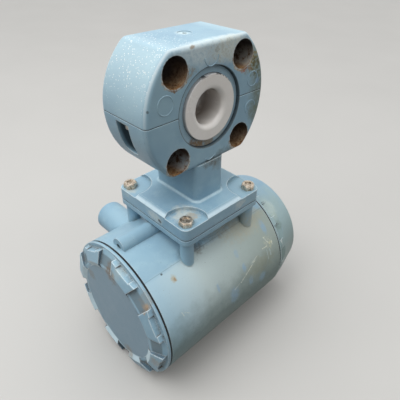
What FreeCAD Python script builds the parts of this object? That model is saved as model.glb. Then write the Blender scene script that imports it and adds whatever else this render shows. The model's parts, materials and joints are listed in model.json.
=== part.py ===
"""Wafer-style electromagnetic flow meter with its signal converter, in millimetres.

A two-part cast head clamps a ceramic measuring tube between pipe flanges. Its neck
carries the converter housing, a cylinder with a screwed cover at each end.
X is the flow axis, Y the axis of the converter housing and +Z is up. The origin is
the middle of the measuring bore.
"""
import FreeCAD, Part
import math
import os

import Sketcher

Vector = FreeCAD.Vector
doc = FreeCAD.newDocument("FlowMeter")
sheet = doc.addObject("Spreadsheet::Sheet", "Dimensions")

# ---------------------------------------------------------------- driving dimensions
# A size that starts with = follows the sizes named in it.

DIMENSIONS = {
    # measuring tube and its pipe connection
    "bore_radius": 12.7,
    "lip_radius": 4.0,
    "tube_radius": "=bore_radius + 5.8",
    "liner_rim_radius": "=tube_radius + 5.7",
    "liner_rim_width": 6.0,
    "end_ring_length": 8.0,
    "face_to_face": 49.0,
    "recess_radius": "=liner_rim_radius + 5.4",
    "recess_depth": 2.5,
    "bolt_circle": 89.0,
    "through_hole_radius": 10.2,
    # cast head
    "parting_height": 0.9,
    "parting_bevel": 0.35,
    "head_rise": "=parting_height",
    "head_radius": "=bolt_circle / 2 + through_hole_radius + 2.5",
    "crown_height": "=bolt_circle * 0.35355 + through_hole_radius + 4.234",
    "sole_depth": "=bolt_circle * 0.35355 + through_hole_radius + 1.534",
    "shoulder_radius": 7.0,
    "face_edge_radius": 3.5,
    "cavity_radius": "=recess_radius + 1.4",
    "cavity_width": "=face_to_face - 2 * (recess_depth + end_ring_length + 2)",
    "vent_spot_radius": 5.0,
    "vent_radius": 1.6,
    "vent_back": 2.6,
    "vent_side": 0.8,
    # clamp screws in the flanks of the head
    "slot_width": "=clamp_head_radius * 2 + 4",
    "slot_roof": 3.0,
    "slot_length": 25.0,
    "slot_corner": 5.0,
    "slot_back": 1.2,
    "slot_inner": "=clamp_offset - 7",
    "slot_toe": 4.0,
    "clamp_offset": "=head_radius - 8.2",
    "clamp_radius": 3.0,
    "clamp_head_radius": "=clamp_radius + 2",
    "clamp_head_height": 5.5,
    "clamp_thread_depth": 15.0,
    # neck and its flange
    "neck_length_x": "=face_to_face + 1",
    "neck_width_y": 30.0,
    "neck_corner": 5.0,
    "neck_root": 3.0,
    "neck_bore": 7.0,
    "plug_radius": "=neck_opening - 0.2",
    "plug_height": 5.0,
    "flange_side": "=flange_bolt_pitch + 15",
    "flange_corner": 6.0,
    "pad_thickness": 9.4,
    "plateau_height": 3.0,
    "plateau_bevel": 4.0,
    "plateau_bevel_drop": 2.6,
    "spot_face_radius": "=flange_bolt_pitch / 2 - 17.3",
    "flange_bolt_pitch": 70.0,
    "gasket_thickness": 1.2,
    # flange bolts
    "bolt_radius": 3.0,
    "bolt_flats": "=bolt_radius * 2 + 4",
    "bolt_head_height": 4.4,
    "bolt_length": 22.0,
    # magnet and electrodes
    "yoke_thickness": 1.5,
    "core_radius": 5.0,
    "shoe_length": "=cavity_width - 4",
    "shoe_width": 16.0,
    "shoe_thickness": 1.5,
    "coil_radius": "=cavity_width / 2 - 1.8",
    "electrode_radius": 1.5,
    "electrode_cap_radius": 5.0,
    "lead_radius": 2.6,
    # converter housing
    "housing_drop": 165.0,
    "shell_radius": 62.0,
    "barrel_bore": "=shell_radius - 7",
    "front_reach": 75.5,
    "rear_reach": 59.5,
    "partition_place": 20.0,
    "partition_thickness": 4.0,
    "joint_height": "=shell_radius + 14",
    "base_flange_thickness": 4.5,
    "pedestal_radius": 32.0,
    "boss_radius": "=bolt_radius + 2.5",
    "boss_foot": "=shell_radius - 18",
    "neck_opening": 14.0,
    "conduit_boss_radius": "=conduit_radius + 3.6",
    "conduit_radius": 10.2,
    "conduit_reach": "=shell_radius + 15.5",
    "conduit_height": "=shell_radius - 27.7",
    "conduit_place": "=partition_place + 16.2",
    "lock_boss_radius": 7.3,
    "lock_boss_height": "=shell_radius + 0.5",
    "lock_boss_side": 3.0,
    "lock_boss_setback": 3.5,
    "lock_screw_radius": 2.5,
    "connector_radius": 9.0,
    "ground_screw_side": "=barrel_bore * 30 / 55",
    "ground_screw_depth": "=barrel_bore * 36.4 / 55",
    # covers and their seals
    "seal_thickness": 1.6,
    "seal_width": "=shell_radius - barrel_bore - 1.1",
    "seal_play": 0.05,
    "thread_play": 0.07,
    "skirt_length": 10.0,
    "skirt_wall": 5.0,
    "rim_thickness": 2.15,
    "lug_corner_height": 8.35,
    "lug_flat": "=shell_radius - 3.8",
    "crest_radius": "=shell_radius - 13.3",
    "crest_height": 11.7,
    "disc_radius": "=crest_radius - 4.9",
    "notch_foot_radius": "=disc_radius + 2.7",
    "disc_height": 9.7,
    "front_cavity_depth": 4.4,
    "notch_width": 18.0,
    "grip_width": 16.3,
    "grip_depth": 1.1,
    "front_cover_turn": 4.6,
    "dome_radius": "=shell_radius - 0.5",
    "dome_shoulder": 5.0,
    "dome_end_radius": "=dome_radius - 9.7",
    "dome_height": 38.0,
    "dome_edge": 4.0,
    "dome_wall": 5.0,
    "dome_grip_width": 15.0,
    "dome_grip_start": 3.4,
    "dome_grip_depth": 2.2,
    "rear_cover_turn": 15.0,
    # electronics
    "post_radius": 3.0,
    "post_side": "=board_radius - 17",
    "post_height": "=board_radius - 21",
    "power_board_place": 20.0,
    "board_radius": "=barrel_bore - 8",
    "board_thickness": 1.6,
    "spacer_length": 16.0,
    "board_screw_radius": 1.5,
    "block_length": "=terminal_pitch * 8 + 2",
    "block_depth": 12.0,
    "block_height": 24.0,
    "terminal_pitch": 8.0,
    # general fits
    "hole_play": 0.2,
    "seat_play": 0.1,
}

TERMINALS = 8
LUGS = 8
DOME_GRIPS = 16
DIAGONAL = math.sqrt(0.5)


class Size:
    """A number together with the sheet expression that it comes from."""

    def __init__(self, value, text):
        self.value = value
        self.text = text

    @staticmethod
    def of(other):
        if isinstance(other, Size):
            return other
        return Size(float(other), repr(float(other)))

    def __add__(self, other):
        other = Size.of(other)
        return Size(self.value + other.value, f"({self.text} + {other.text})")

    def __sub__(self, other):
        other = Size.of(other)
        return Size(self.value - other.value, f"({self.text} - {other.text})")

    def __mul__(self, other):
        other = Size.of(other)
        return Size(self.value * other.value, f"({self.text} * {other.text})")

    def __truediv__(self, other):
        other = Size.of(other)
        return Size(self.value / other.value, f"({self.text} / {other.text})")

    def __neg__(self):
        return Size(-self.value, f"(0 - {self.text})")

    def __rsub__(self, other):
        return Size.of(other) - self

    __radd__ = __add__
    __rmul__ = __mul__


class Dimensions:
    """The sheet's cells as sizes, one attribute for each alias."""

    def __init__(self, values):
        for row, alias in enumerate(values, start=1):
            sheet.set(f"A{row}", alias)
            sheet.setAlias(f"B{row}", alias)
        for row, value in enumerate(values.values(), start=1):
            sheet.set(f"B{row}", str(value))
        doc.recompute()
        for alias in values:
            setattr(self, alias, Size(float(sheet.get(alias)), f"Dimensions.{alias}"))


d = Dimensions(DIMENSIONS)

ZERO = Size.of(0.0)
BEYOND = 5.0

# ------------------------------------------------------------------ derived places

half_face = d.face_to_face / 2
bolt_offset = d.bolt_circle * (DIAGONAL / 2)
clamp_hole_radius = d.clamp_radius + d.hole_play
plate_half = d.flange_side / 2
flange_bolt_half = d.flange_bolt_pitch / 2
gasket_top = d.joint_height + d.gasket_thickness
pad_level = gasket_top + d.pad_thickness - d.housing_drop
plateau_level = pad_level + d.plateau_height
joint_level = gasket_top - d.housing_drop
skirt_radius = d.barrel_bore - d.thread_play
cover_seat = d.seal_thickness + d.seal_play
rim_top = cover_seat + d.rim_thickness
yoke_outer = d.cavity_radius - d.hole_play
yoke_inner = yoke_outer - d.yoke_thickness
main_board_place = d.power_board_place + d.board_thickness + d.spacer_length
partition_rear = d.partition_thickness - d.partition_place

# ------------------------------------------------------------------- building tools

SUB_PARTS = []


def bind(item, name, size):
    """Set a property from a size and tie it to the sheet."""
    item.setExpression(name, Size.of(size).text)


def new_body(label):
    body = doc.addObject("PartDesign::Body", label)
    body.Label = label
    SUB_PARTS.append(body)
    return body


def origin_feature(body, role):
    return next(item for item in body.Origin.OriginFeatures if item.Role == role)


def new_sketch(body, name, plane, offset=None, turn=0.0):
    """A sketch on one of the body's own origin planes, beside it or turned about Z."""
    sketch = body.newObject("Sketcher::SketchObject", name)
    sketch.AttachmentSupport = (origin_feature(body, plane), "")
    sketch.MapMode = "FlatFace"
    if turn:
        upright = FreeCAD.Rotation(Vector(0, 1, 0), turn)
        sketch.AttachmentOffset = FreeCAD.Placement(Vector(0, 0, 0), upright)
    if offset is not None:
        bind(sketch, "AttachmentOffset.Base.z", offset)
    return sketch


def pin_point(sketch, geometry, point, x, y):
    """Hold one point of a sketch at a pair of sizes."""
    for kind, size, axis in (("DistanceX", Size.of(x), -2), ("DistanceY", Size.of(y), -1)):
        if size.text == ZERO.text:
            sketch.addConstraint(Sketcher.Constraint("PointOnObject", geometry, point, axis))
        else:
            held = Sketcher.Constraint(kind, -1, 1, geometry, point, size.value)
            index = sketch.addConstraint(held)
            sketch.setExpression(f"Constraints[{index}]", size.text)


def add_circle(sketch, radius, x=ZERO, y=ZERO):
    radius, x, y = Size.of(radius), Size.of(x), Size.of(y)
    centre = Vector(x.value, y.value, 0)
    circle = sketch.addGeometry(Part.Circle(centre, Vector(0, 0, 1), radius.value))
    index = sketch.addConstraint(Sketcher.Constraint("Radius", circle, radius.value))
    sketch.setExpression(f"Constraints[{index}]", radius.text)
    pin_point(sketch, circle, 3, x, y)


def add_outline(sketch, corners):
    """A closed outline of straight lines, its corners pairs of sizes."""
    corners = [(Size.of(x), Size.of(y)) for x, y in corners]
    points = [Vector(x.value, y.value, 0) for x, y in corners]
    lines = []
    for start, end in zip(points, points[1:] + points[:1]):
        lines.append(sketch.addGeometry(Part.LineSegment(start, end)))
    for line, following in zip(lines, lines[1:] + lines[:1]):
        sketch.addConstraint(Sketcher.Constraint("Coincident", line, 2, following, 1))
    for line, (x, y) in zip(lines, corners):
        pin_point(sketch, line, 1, x, y)


def add_box(sketch, low, high):
    add_outline(sketch, [low, (high[0], low[1]), high, (low[0], high[1])])


def pad(body, name, sketch, length, both_ways=False, down=False):
    feature = body.newObject("PartDesign::Pad", name)
    feature.Profile = sketch
    feature.SideType = "Symmetric" if both_ways else "One side"
    feature.Reversed = down
    bind(feature, "Length", length)
    return feature


def pocket(body, name, sketch, length, both_ways=False, up=False):
    """Cut a sketch out of the body; it has to take material away."""
    doc.recompute()
    before = body.Tip.Shape.Volume
    feature = body.newObject("PartDesign::Pocket", name)
    feature.Profile = sketch
    feature.SideType = "Symmetric" if both_ways else "One side"
    feature.Reversed = up
    bind(feature, "Length", length)
    doc.recompute()
    if feature.Shape.isNull() or feature.Shape.Volume >= before:
        raise RuntimeError(f"{body.Label}: {name} cuts nothing")
    return feature


def turned(body, name, sketch, axis, cut=False):
    """Revolve a sketch a full turn about one of the body's axes."""
    doc.recompute()
    before = body.Tip.Shape.Volume if cut else 0.0
    kind = "PartDesign::Groove" if cut else "PartDesign::Revolution"
    feature = body.newObject(kind, name)
    feature.Profile = sketch
    feature.ReferenceAxis = (origin_feature(body, axis), [""])
    feature.Angle = 360.0
    doc.recompute()
    if cut and feature.Shape.Volume >= before:
        raise RuntimeError(f"{body.Label}: {name} cuts nothing")
    return feature


def around(body, name, features, axis, count):
    """Repeat features evenly about one of the body's axes."""
    doc.recompute()
    pattern = body.newObject("PartDesign::PolarPattern", name)
    pattern.Originals = features
    pattern.Axis = (origin_feature(body, axis), [""])
    pattern.Angle = 360.0
    pattern.Occurrences = count
    body.Tip = pattern
    doc.recompute()
    return pattern


def mirrored(body, name, features, plane):
    doc.recompute()
    copy = body.newObject("PartDesign::Mirrored", name)
    copy.Originals = features
    copy.MirrorPlane = (origin_feature(body, plane), [""])
    body.Tip = copy
    doc.recompute()
    return copy


def edges_of(body, name, chosen):
    """The newest feature and the names of its edges whose ends and middle pass a test."""
    doc.recompute()
    base = body.Tip
    names = []
    for index, edge in enumerate(base.Shape.Edges, start=1):
        middle = edge.valueAt((edge.FirstParameter + edge.LastParameter) / 2)
        points = [vertex.Point for vertex in edge.Vertexes] + [middle]
        if all(chosen(point) for point in points):
            names.append(f"Edge{index}")
    if not names:
        raise RuntimeError(f"{body.Label}: {name} finds no edge")
    return base, names


def round_edges(body, name, radius, chosen):
    """Fillet the edges of the body whose two ends and middle pass a test."""
    chosen_edges = edges_of(body, name, chosen)
    feature = body.newObject("PartDesign::Fillet", name)
    feature.Base = chosen_edges
    bind(feature, "Radius", radius)
    doc.recompute()
    return feature


def bevel_edges(body, name, width, chosen):
    """Chamfer the edges of the body whose two ends and middle pass a test."""
    chosen_edges = edges_of(body, name, chosen)
    feature = body.newObject("PartDesign::Chamfer", name)
    feature.Base = chosen_edges
    bind(feature, "Size", width)
    doc.recompute()
    return feature


def near(value, size, reach=0.01):
    return abs(value - Size.of(size).value) < reach


def place(item, x=ZERO, y=ZERO, z=ZERO, turn=None):
    """Give a sub-part its place, tied to the sheet, and its turn."""
    if turn is not None:
        item.Placement = FreeCAD.Placement(Vector(0, 0, 0), turn)
    for letter, size in (("x", x), ("y", y), ("z", z)):
        bind(item, f"Placement.Base.{letter}", size)


def part(kind, name, **sizes):
    """A Part primitive whose sizes are tied to the sheet."""
    item = doc.addObject(f"Part::{kind}", name)
    for key, size in sizes.items():
        bind(item, key, size)
    return item


def grouped(label, items):
    """Separate solids of one kind, held in one sub-part."""
    group = doc.addObject("Part::Compound", label)
    group.Links = items
    group.Label = label
    SUB_PARTS.append(group)
    return group


def rotation(axis, angle):
    return FreeCAD.Rotation(axis, angle)


X_AXIS = Vector(1, 0, 0)
Y_AXIS = Vector(0, 1, 0)
Z_AXIS = Vector(0, 0, 1)

# --------------------------------------------------------------------- measuring head


def head_half(label, side):
    """The drum-shaped casting above (side 1) or below (side -1) the parting plane."""
    body = new_body(label)
    disc = new_sketch(body, "DrumOutline", "YZ_Plane")
    add_circle(disc, d.head_radius, ZERO, d.head_rise)
    pad(body, "Drum", disc, d.face_to_face, both_ways=True)

    reach = d.head_radius + BEYOND
    flat = d.crown_height if side > 0 else -d.sole_depth
    parting = new_sketch(body, "OtherHalf", "YZ_Plane")
    add_box(parting, (-reach, d.parting_height), (reach, -side * reach))
    pocket(body, "PartingCut", parting, d.face_to_face + BEYOND, both_ways=True)
    beyond_flat = new_sketch(body, "BeyondFlat", "YZ_Plane")
    add_box(beyond_flat, (-reach, flat), (reach, side * reach))
    pocket(body, "FlatCut", beyond_flat, d.face_to_face + BEYOND, both_ways=True)

    round_edges(body, "Shoulders", d.shoulder_radius,
                lambda p: near(p.z, flat)
                and near(math.hypot(p.y, p.z - d.head_rise.value), d.head_radius))
    round_edges(body, "FaceEdges", d.face_edge_radius,
                lambda p: near(abs(p.x), half_face)
                and not (near(p.z, d.parting_height) and abs(p.y) < d.head_radius.value - 1))
    bevel_edges(body, "PartingBevel", d.parting_bevel, lambda p: near(p.z, d.parting_height))
    return body


def hollow_head(body, side):
    """The tube seat, the magnet chamber and the holes for the pipe bolts."""
    end = half_face + BEYOND
    chamber = d.cavity_width / 2
    hollow = new_sketch(body, "ChamberOutline", "XY_Plane")
    add_outline(hollow, [
        (-end, ZERO), (-end, d.recess_radius), (-chamber, d.recess_radius),
        (-chamber, d.cavity_radius), (chamber, d.cavity_radius),
        (chamber, d.recess_radius), (end, d.recess_radius), (end, ZERO),
    ])
    turned(body, "Chamber", hollow, "X_Axis", cut=True)

    holes = new_sketch(body, "PipeBoltHoles", "YZ_Plane")
    for way in (-1, 1):
        add_circle(holes, d.through_hole_radius, way * bolt_offset, side * bolt_offset)
    pocket(body, "PipeBolts", holes, d.face_to_face + BEYOND, both_ways=True)


def upper_shell():
    body = head_half("upper_shell", 1)
    hollow_head(body, 1)
    threads = new_sketch(body, "ClampThreads", "XY_Plane", d.parting_height)
    for way in (-1, 1):
        add_circle(threads, d.clamp_radius, -d.slot_back, way * d.clamp_offset)
    pocket(body, "ClampHoles", threads, d.clamp_thread_depth, up=True)
    spot = new_sketch(body, "VentSpot", "XY_Plane", d.crown_height)
    add_circle(spot, d.vent_spot_radius, -d.vent_back, d.vent_side)
    pocket(body, "VentSeat", spot, 0.4)
    vent = new_sketch(body, "VentCircle", "XY_Plane", d.crown_height)
    add_circle(vent, d.vent_radius, -d.vent_back, d.vent_side)
    pocket(body, "Vent", vent, 10.0)


def lower_body():
    body = head_half("lower_body", -1)

    neck = new_sketch(body, "NeckSection", "XY_Plane", plateau_level)
    half_x, half_y = d.neck_length_x / 2, d.neck_width_y / 2
    add_box(neck, (-half_x, -half_y), (half_x, half_y))
    pad(body, "Neck", neck, -(d.sole_depth - 1.0) - plateau_level)
    round_edges(body, "NeckCorners", d.neck_corner,
                lambda p: near(abs(p.x), half_x) and near(abs(p.y), half_y))

    plate = new_sketch(body, "FlangeSquare", "XY_Plane", joint_level)
    add_box(plate, (-plate_half, -plate_half), (plate_half, plate_half))
    pad(body, "Flange", plate, plateau_level - joint_level)
    round_edges(body, "FlangeCorners", d.flange_corner,
                lambda p: near(abs(p.x), plate_half) and near(abs(p.y), plate_half))

    spot = new_sketch(body, "SpotCircle", "XY_Plane", plateau_level)
    add_circle(spot, d.spot_face_radius, flange_bolt_half, flange_bolt_half)
    spot_face = pocket(body, "SpotFace", spot, d.plateau_height)
    around(body, "SpotFaces", [spot_face], "Z_Axis", 4)

    bevel = new_sketch(body, "BevelSection", "XZ_Plane")
    outside = plate_half + BEYOND
    drop = d.plateau_bevel_drop * ((d.plateau_bevel + BEYOND) / d.plateau_bevel)
    add_outline(bevel, [(plate_half - d.plateau_bevel, plateau_level), (outside, plateau_level),
                        (outside, plateau_level - drop)])
    bevel_cut = pocket(body, "Bevel", bevel, d.flange_side, both_ways=True)
    around(body, "Bevels", [bevel_cut], "Z_Axis", 4)

    round_edges(body, "NeckRoot", d.neck_root,
                lambda p: near(p.z, plateau_level) and abs(p.x) < half_x.value + 0.1
                and abs(p.y) < half_y.value + 0.1)
    hollow_head(body, -1)

    slot = new_sketch(body, "SlotOutline", "YZ_Plane", -d.slot_back)
    roof = d.parting_height - d.slot_roof
    floor = roof - d.slot_length
    outside = d.head_radius + BEYOND
    add_outline(slot, [(d.slot_inner, roof), (outside, roof), (outside, floor),
                       (d.slot_inner + d.slot_toe, floor)])
    slot_cut = pocket(body, "FlankSlot", slot, d.slot_width, both_ways=True)
    mirrored(body, "FlankSlots", [slot_cut], "XZ_Plane")
    round_edges(body, "SlotToes", d.slot_corner,
                lambda p: near(abs(p.x + d.slot_back.value), d.slot_width / 2)
                and near(p.z, floor))
    clamps = new_sketch(body, "ClampCircles", "XY_Plane", d.parting_height)
    for way in (-1, 1):
        add_circle(clamps, clamp_hole_radius, -d.slot_back, way * d.clamp_offset)
    pocket(body, "ClampHoles", clamps, d.slot_roof + 1.0)

    wires = new_sketch(body, "WireCircle", "XY_Plane", joint_level)
    add_circle(wires, d.neck_bore)
    pocket(body, "WireWay", wires, -joint_level - d.cavity_radius + BEYOND, up=True)
    plug = new_sketch(body, "PlugCircle", "XY_Plane", joint_level)
    add_circle(plug, d.plug_radius + d.seat_play)
    pocket(body, "PlugSeat", plug, d.plug_height, up=True)
    bolts = new_sketch(body, "BoltCircle", "XY_Plane", joint_level)
    add_circle(bolts, d.bolt_radius + d.hole_play, flange_bolt_half, flange_bolt_half)
    bolt_hole = pocket(body, "BoltHole", bolts, d.pad_thickness + d.plateau_height, up=True)
    around(body, "BoltHoles", [bolt_hole], "Z_Axis", 4)


def ceramic_liner():
    body = new_body("ceramic_liner")
    inner_end = half_face - d.liner_rim_width
    outline = new_sketch(body, "SpoolOutline", "XY_Plane")
    add_outline(outline, [
        (-half_face, d.bore_radius), (-half_face, d.liner_rim_radius),
        (-inner_end, d.liner_rim_radius), (-inner_end, d.tube_radius),
        (inner_end, d.tube_radius), (inner_end, d.liner_rim_radius),
        (half_face, d.liner_rim_radius), (half_face, d.bore_radius),
    ])
    turned(body, "Spool", outline, "X_Axis")

    def ring(radius, depth):
        return lambda p: near(abs(p.x), depth) and near(math.hypot(p.y, p.z), radius)

    round_edges(body, "Lips", d.lip_radius, ring(d.bore_radius, half_face))
    round_edges(body, "RimEdges", 0.8, ring(d.liner_rim_radius, half_face))
    round_edges(body, "RimRoots", 2.0, ring(d.tube_radius, inner_end))
    holes = new_sketch(body, "ElectrodeCircle", "XZ_Plane")
    add_circle(holes, d.electrode_radius + 0.05)
    pocket(body, "ElectrodeHoles", holes, 2 * d.liner_rim_radius, both_ways=True)


SEAL_GROOVE_PLACE = 2.0
SEAL_SECTION = 0.9


def end_ring(label, side):
    """The painted ring in the recess round each end of the measuring tube."""
    body = new_body(label)
    inner, outer = d.liner_rim_radius + d.hole_play, d.recess_radius - 0.15
    groove_floor = inner + 2 * SEAL_SECTION - 0.1
    front = half_face - d.recess_depth
    groove = front - SEAL_GROOVE_PLACE
    outline = new_sketch(body, "RingSection", "XY_Plane")
    stations = [
        (front, inner), (front, outer), (front - d.end_ring_length, outer),
        (front - d.end_ring_length, inner), (groove - 1.1, inner), (groove - 1.1, groove_floor),
        (groove + 1.1, groove_floor), (groove + 1.1, inner),
    ]
    add_outline(outline, [(side * x, y) for x, y in stations])
    turned(body, "Ring", outline, "X_Axis")


def liner_seals():
    groove = half_face - d.recess_depth - SEAL_GROOVE_PLACE
    middle = d.liner_rim_radius + SEAL_SECTION + 0.05
    rings = []
    for side in (-1, 1):
        ring = part("Torus", "LinerSeal", Radius1=middle, Radius2=SEAL_SECTION)
        place(ring, x=side * groove, turn=rotation(Y_AXIS, 90))
        rings.append(ring)
    grouped("liner_seals", rings)


def clamp_screws():
    """Socket-head screws that draw the two castings together from inside the slots."""
    seat = d.parting_height - d.slot_roof
    screws = []
    for way in (-1, 1):
        shank = part("Cylinder", "ClampShank", Radius=d.clamp_radius - 0.05,
                     Height=d.slot_roof + d.clamp_thread_depth - 1.0)
        place(shank, x=-d.slot_back, y=way * d.clamp_offset, z=seat)
        head = part("Cylinder", "ClampHead", Radius=d.clamp_head_radius,
                    Height=d.clamp_head_height)
        place(head, x=-d.slot_back, y=way * d.clamp_offset, z=seat - d.clamp_head_height)
        socket = part("Prism", "ClampSocket", Circumradius=d.clamp_radius, Height=3.0)
        socket.Polygon = 6
        place(socket, x=-d.slot_back, y=way * d.clamp_offset, z=seat - d.clamp_head_height)
        screws.append(cut_from(joined("ClampScrew", [shank, head]), socket))
    grouped("clamp_screws", screws)


def joined(name, items):
    fused = doc.addObject("Part::MultiFuse", name)
    fused.Shapes = items
    fused.Refine = True
    return fused


def cut_from(base, tool):
    cut = doc.addObject("Part::Cut", base.Name + "Cut")
    cut.Base = base
    cut.Tool = tool
    return cut


def magnet_yoke():
    body = new_body("magnet_yoke")
    section = new_sketch(body, "YokeSection", "YZ_Plane")
    add_circle(section, yoke_outer)
    add_circle(section, yoke_inner)
    pad(body, "Yoke", section, d.cavity_width - 0.4, both_ways=True)


def pole_core(label, turn):
    """A round core on a shoe that lies against the measuring tube."""
    body = new_body(label)
    shoe_level = d.tube_radius + d.hole_play
    shoe = new_sketch(body, "ShoeSquare", "XY_Plane", shoe_level)
    half_long, half_wide = d.shoe_length / 2, d.shoe_width / 2
    add_box(shoe, (-half_long, -half_wide), (half_long, half_wide))
    pad(body, "Shoe", shoe, d.shoe_thickness)
    core = new_sketch(body, "CoreCircle", "XY_Plane", shoe_level)
    add_circle(core, d.core_radius)
    pad(body, "Core", core, yoke_inner - 0.5 - shoe_level)
    place(body, turn=turn)


def coil(label, turn):
    body = new_body(label)
    foot = d.tube_radius + d.hole_play + d.shoe_thickness + 0.2
    winding = new_sketch(body, "WindingSection", "XY_Plane", foot)
    add_circle(winding, d.coil_radius)
    add_circle(winding, d.core_radius + 0.3)
    pad(body, "Winding", winding, yoke_inner - 2.4 - foot)
    place(body, turn=turn)


def electrode(label, turn):
    """The pin that touches the liquid, with a head outside the tube."""
    body = new_body(label)
    head = d.tube_radius + 0.3
    outline = new_sketch(body, "PinOutline", "XZ_Plane")
    add_outline(outline, [
        (ZERO, d.bore_radius), (d.electrode_radius, d.bore_radius), (d.electrode_radius, head),
        (3.2, head), (3.2, head + 1.8), (ZERO, head + 1.8),
    ])
    turned(body, "Pin", outline, "Z_Axis")
    place(body, turn=turn)


def electrode_cap(label, turn):
    body = new_body(label)
    foot = d.tube_radius + 0.3 + 1.8 + d.seat_play
    section = new_sketch(body, "CapCircle", "XY_Plane", foot)
    add_circle(section, d.electrode_cap_radius)
    pad(body, "Cap", section, yoke_inner - 0.8 - foot)
    place(body, turn=turn)


def lead_bundle():
    body = new_body("lead_bundle")
    bottom = joint_level + d.plug_height + d.seat_play
    section = new_sketch(body, "LeadCircle", "XY_Plane", bottom)
    add_circle(section, d.lead_radius)
    pad(body, "Leads", section, -yoke_outer - 0.3 - bottom)


def feedthrough_plug():
    """The sealed plug at the foot of the neck, with its contact pins."""
    body = new_body("feedthrough_plug")
    disc = new_sketch(body, "PlugSection", "XY_Plane", joint_level)
    add_circle(disc, d.plug_radius)
    pad(body, "Plug", disc, d.plug_height)
    pins = new_sketch(body, "PinCircle", "XY_Plane", joint_level)
    add_circle(pins, 0.8, 7.0, ZERO)
    pin = pad(body, "PinPad", pins, 8.0, down=True)
    around(body, "Pins", [pin], "Z_Axis", 6)


# -------------------------------------------------------------------- flange and bolts


def flange_gasket():
    body = new_body("flange_gasket")
    side = plate_half - 0.3
    square = new_sketch(body, "GasketSquare", "XY_Plane")
    add_box(square, (-side, -side), (side, side))
    pad(body, "Gasket", square, d.gasket_thickness)
    round_edges(body, "GasketCorners", d.flange_corner,
                lambda p: near(abs(p.x), side) and near(abs(p.y), side))
    opening = new_sketch(body, "GasketOpening", "XY_Plane", d.gasket_thickness)
    add_circle(opening, d.neck_opening + 2)
    pocket(body, "Opening", opening, d.gasket_thickness)
    hole = new_sketch(body, "GasketHole", "XY_Plane", d.gasket_thickness)
    add_circle(hole, d.bolt_radius + d.hole_play, flange_bolt_half, flange_bolt_half)
    cut = pocket(body, "Hole", hole, d.gasket_thickness)
    around(body, "Holes", [cut], "Z_Axis", 4)
    place(body, z=d.joint_height - d.housing_drop)


def flange_bolts():
    """Hexagon bolts, their heads turned down to a bevelled edge and dished on top."""
    bolts = []
    corner = d.bolt_flats / (2 * math.cos(math.radians(30)))
    for across in (-1, 1):
        for along in (-1, 1):
            x, y = across * flange_bolt_half, along * flange_bolt_half
            prism = part("Prism", "HexPrism", Circumradius=corner, Height=d.bolt_head_height)
            prism.Polygon = 6
            place(prism, x=x, y=y, z=pad_level)
            crown = part("Cone", "HexCrown", Radius1=corner + 2.0, Radius2=d.bolt_flats / 2 - 0.2,
                         Height=d.bolt_head_height)
            place(crown, x=x, y=y, z=pad_level)
            head = doc.addObject("Part::Common", "HexHead")
            head.Base = prism
            head.Tool = crown
            dish = part("Cylinder", "HexDish", Radius=2.9, Height=1.5)
            place(dish, x=x, y=y, z=pad_level + d.bolt_head_height - 0.9)
            shank = part("Cylinder", "BoltShank", Radius=d.bolt_radius - 0.05,
                         Height=d.bolt_length)
            place(shank, x=x, y=y, z=pad_level - d.bolt_length)
            bolts.append(joined("FlangeBolt", [cut_from(head, dish), shank]))
    grouped("flange_bolts", bolts)


# ------------------------------------------------------------------ converter housing


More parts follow.
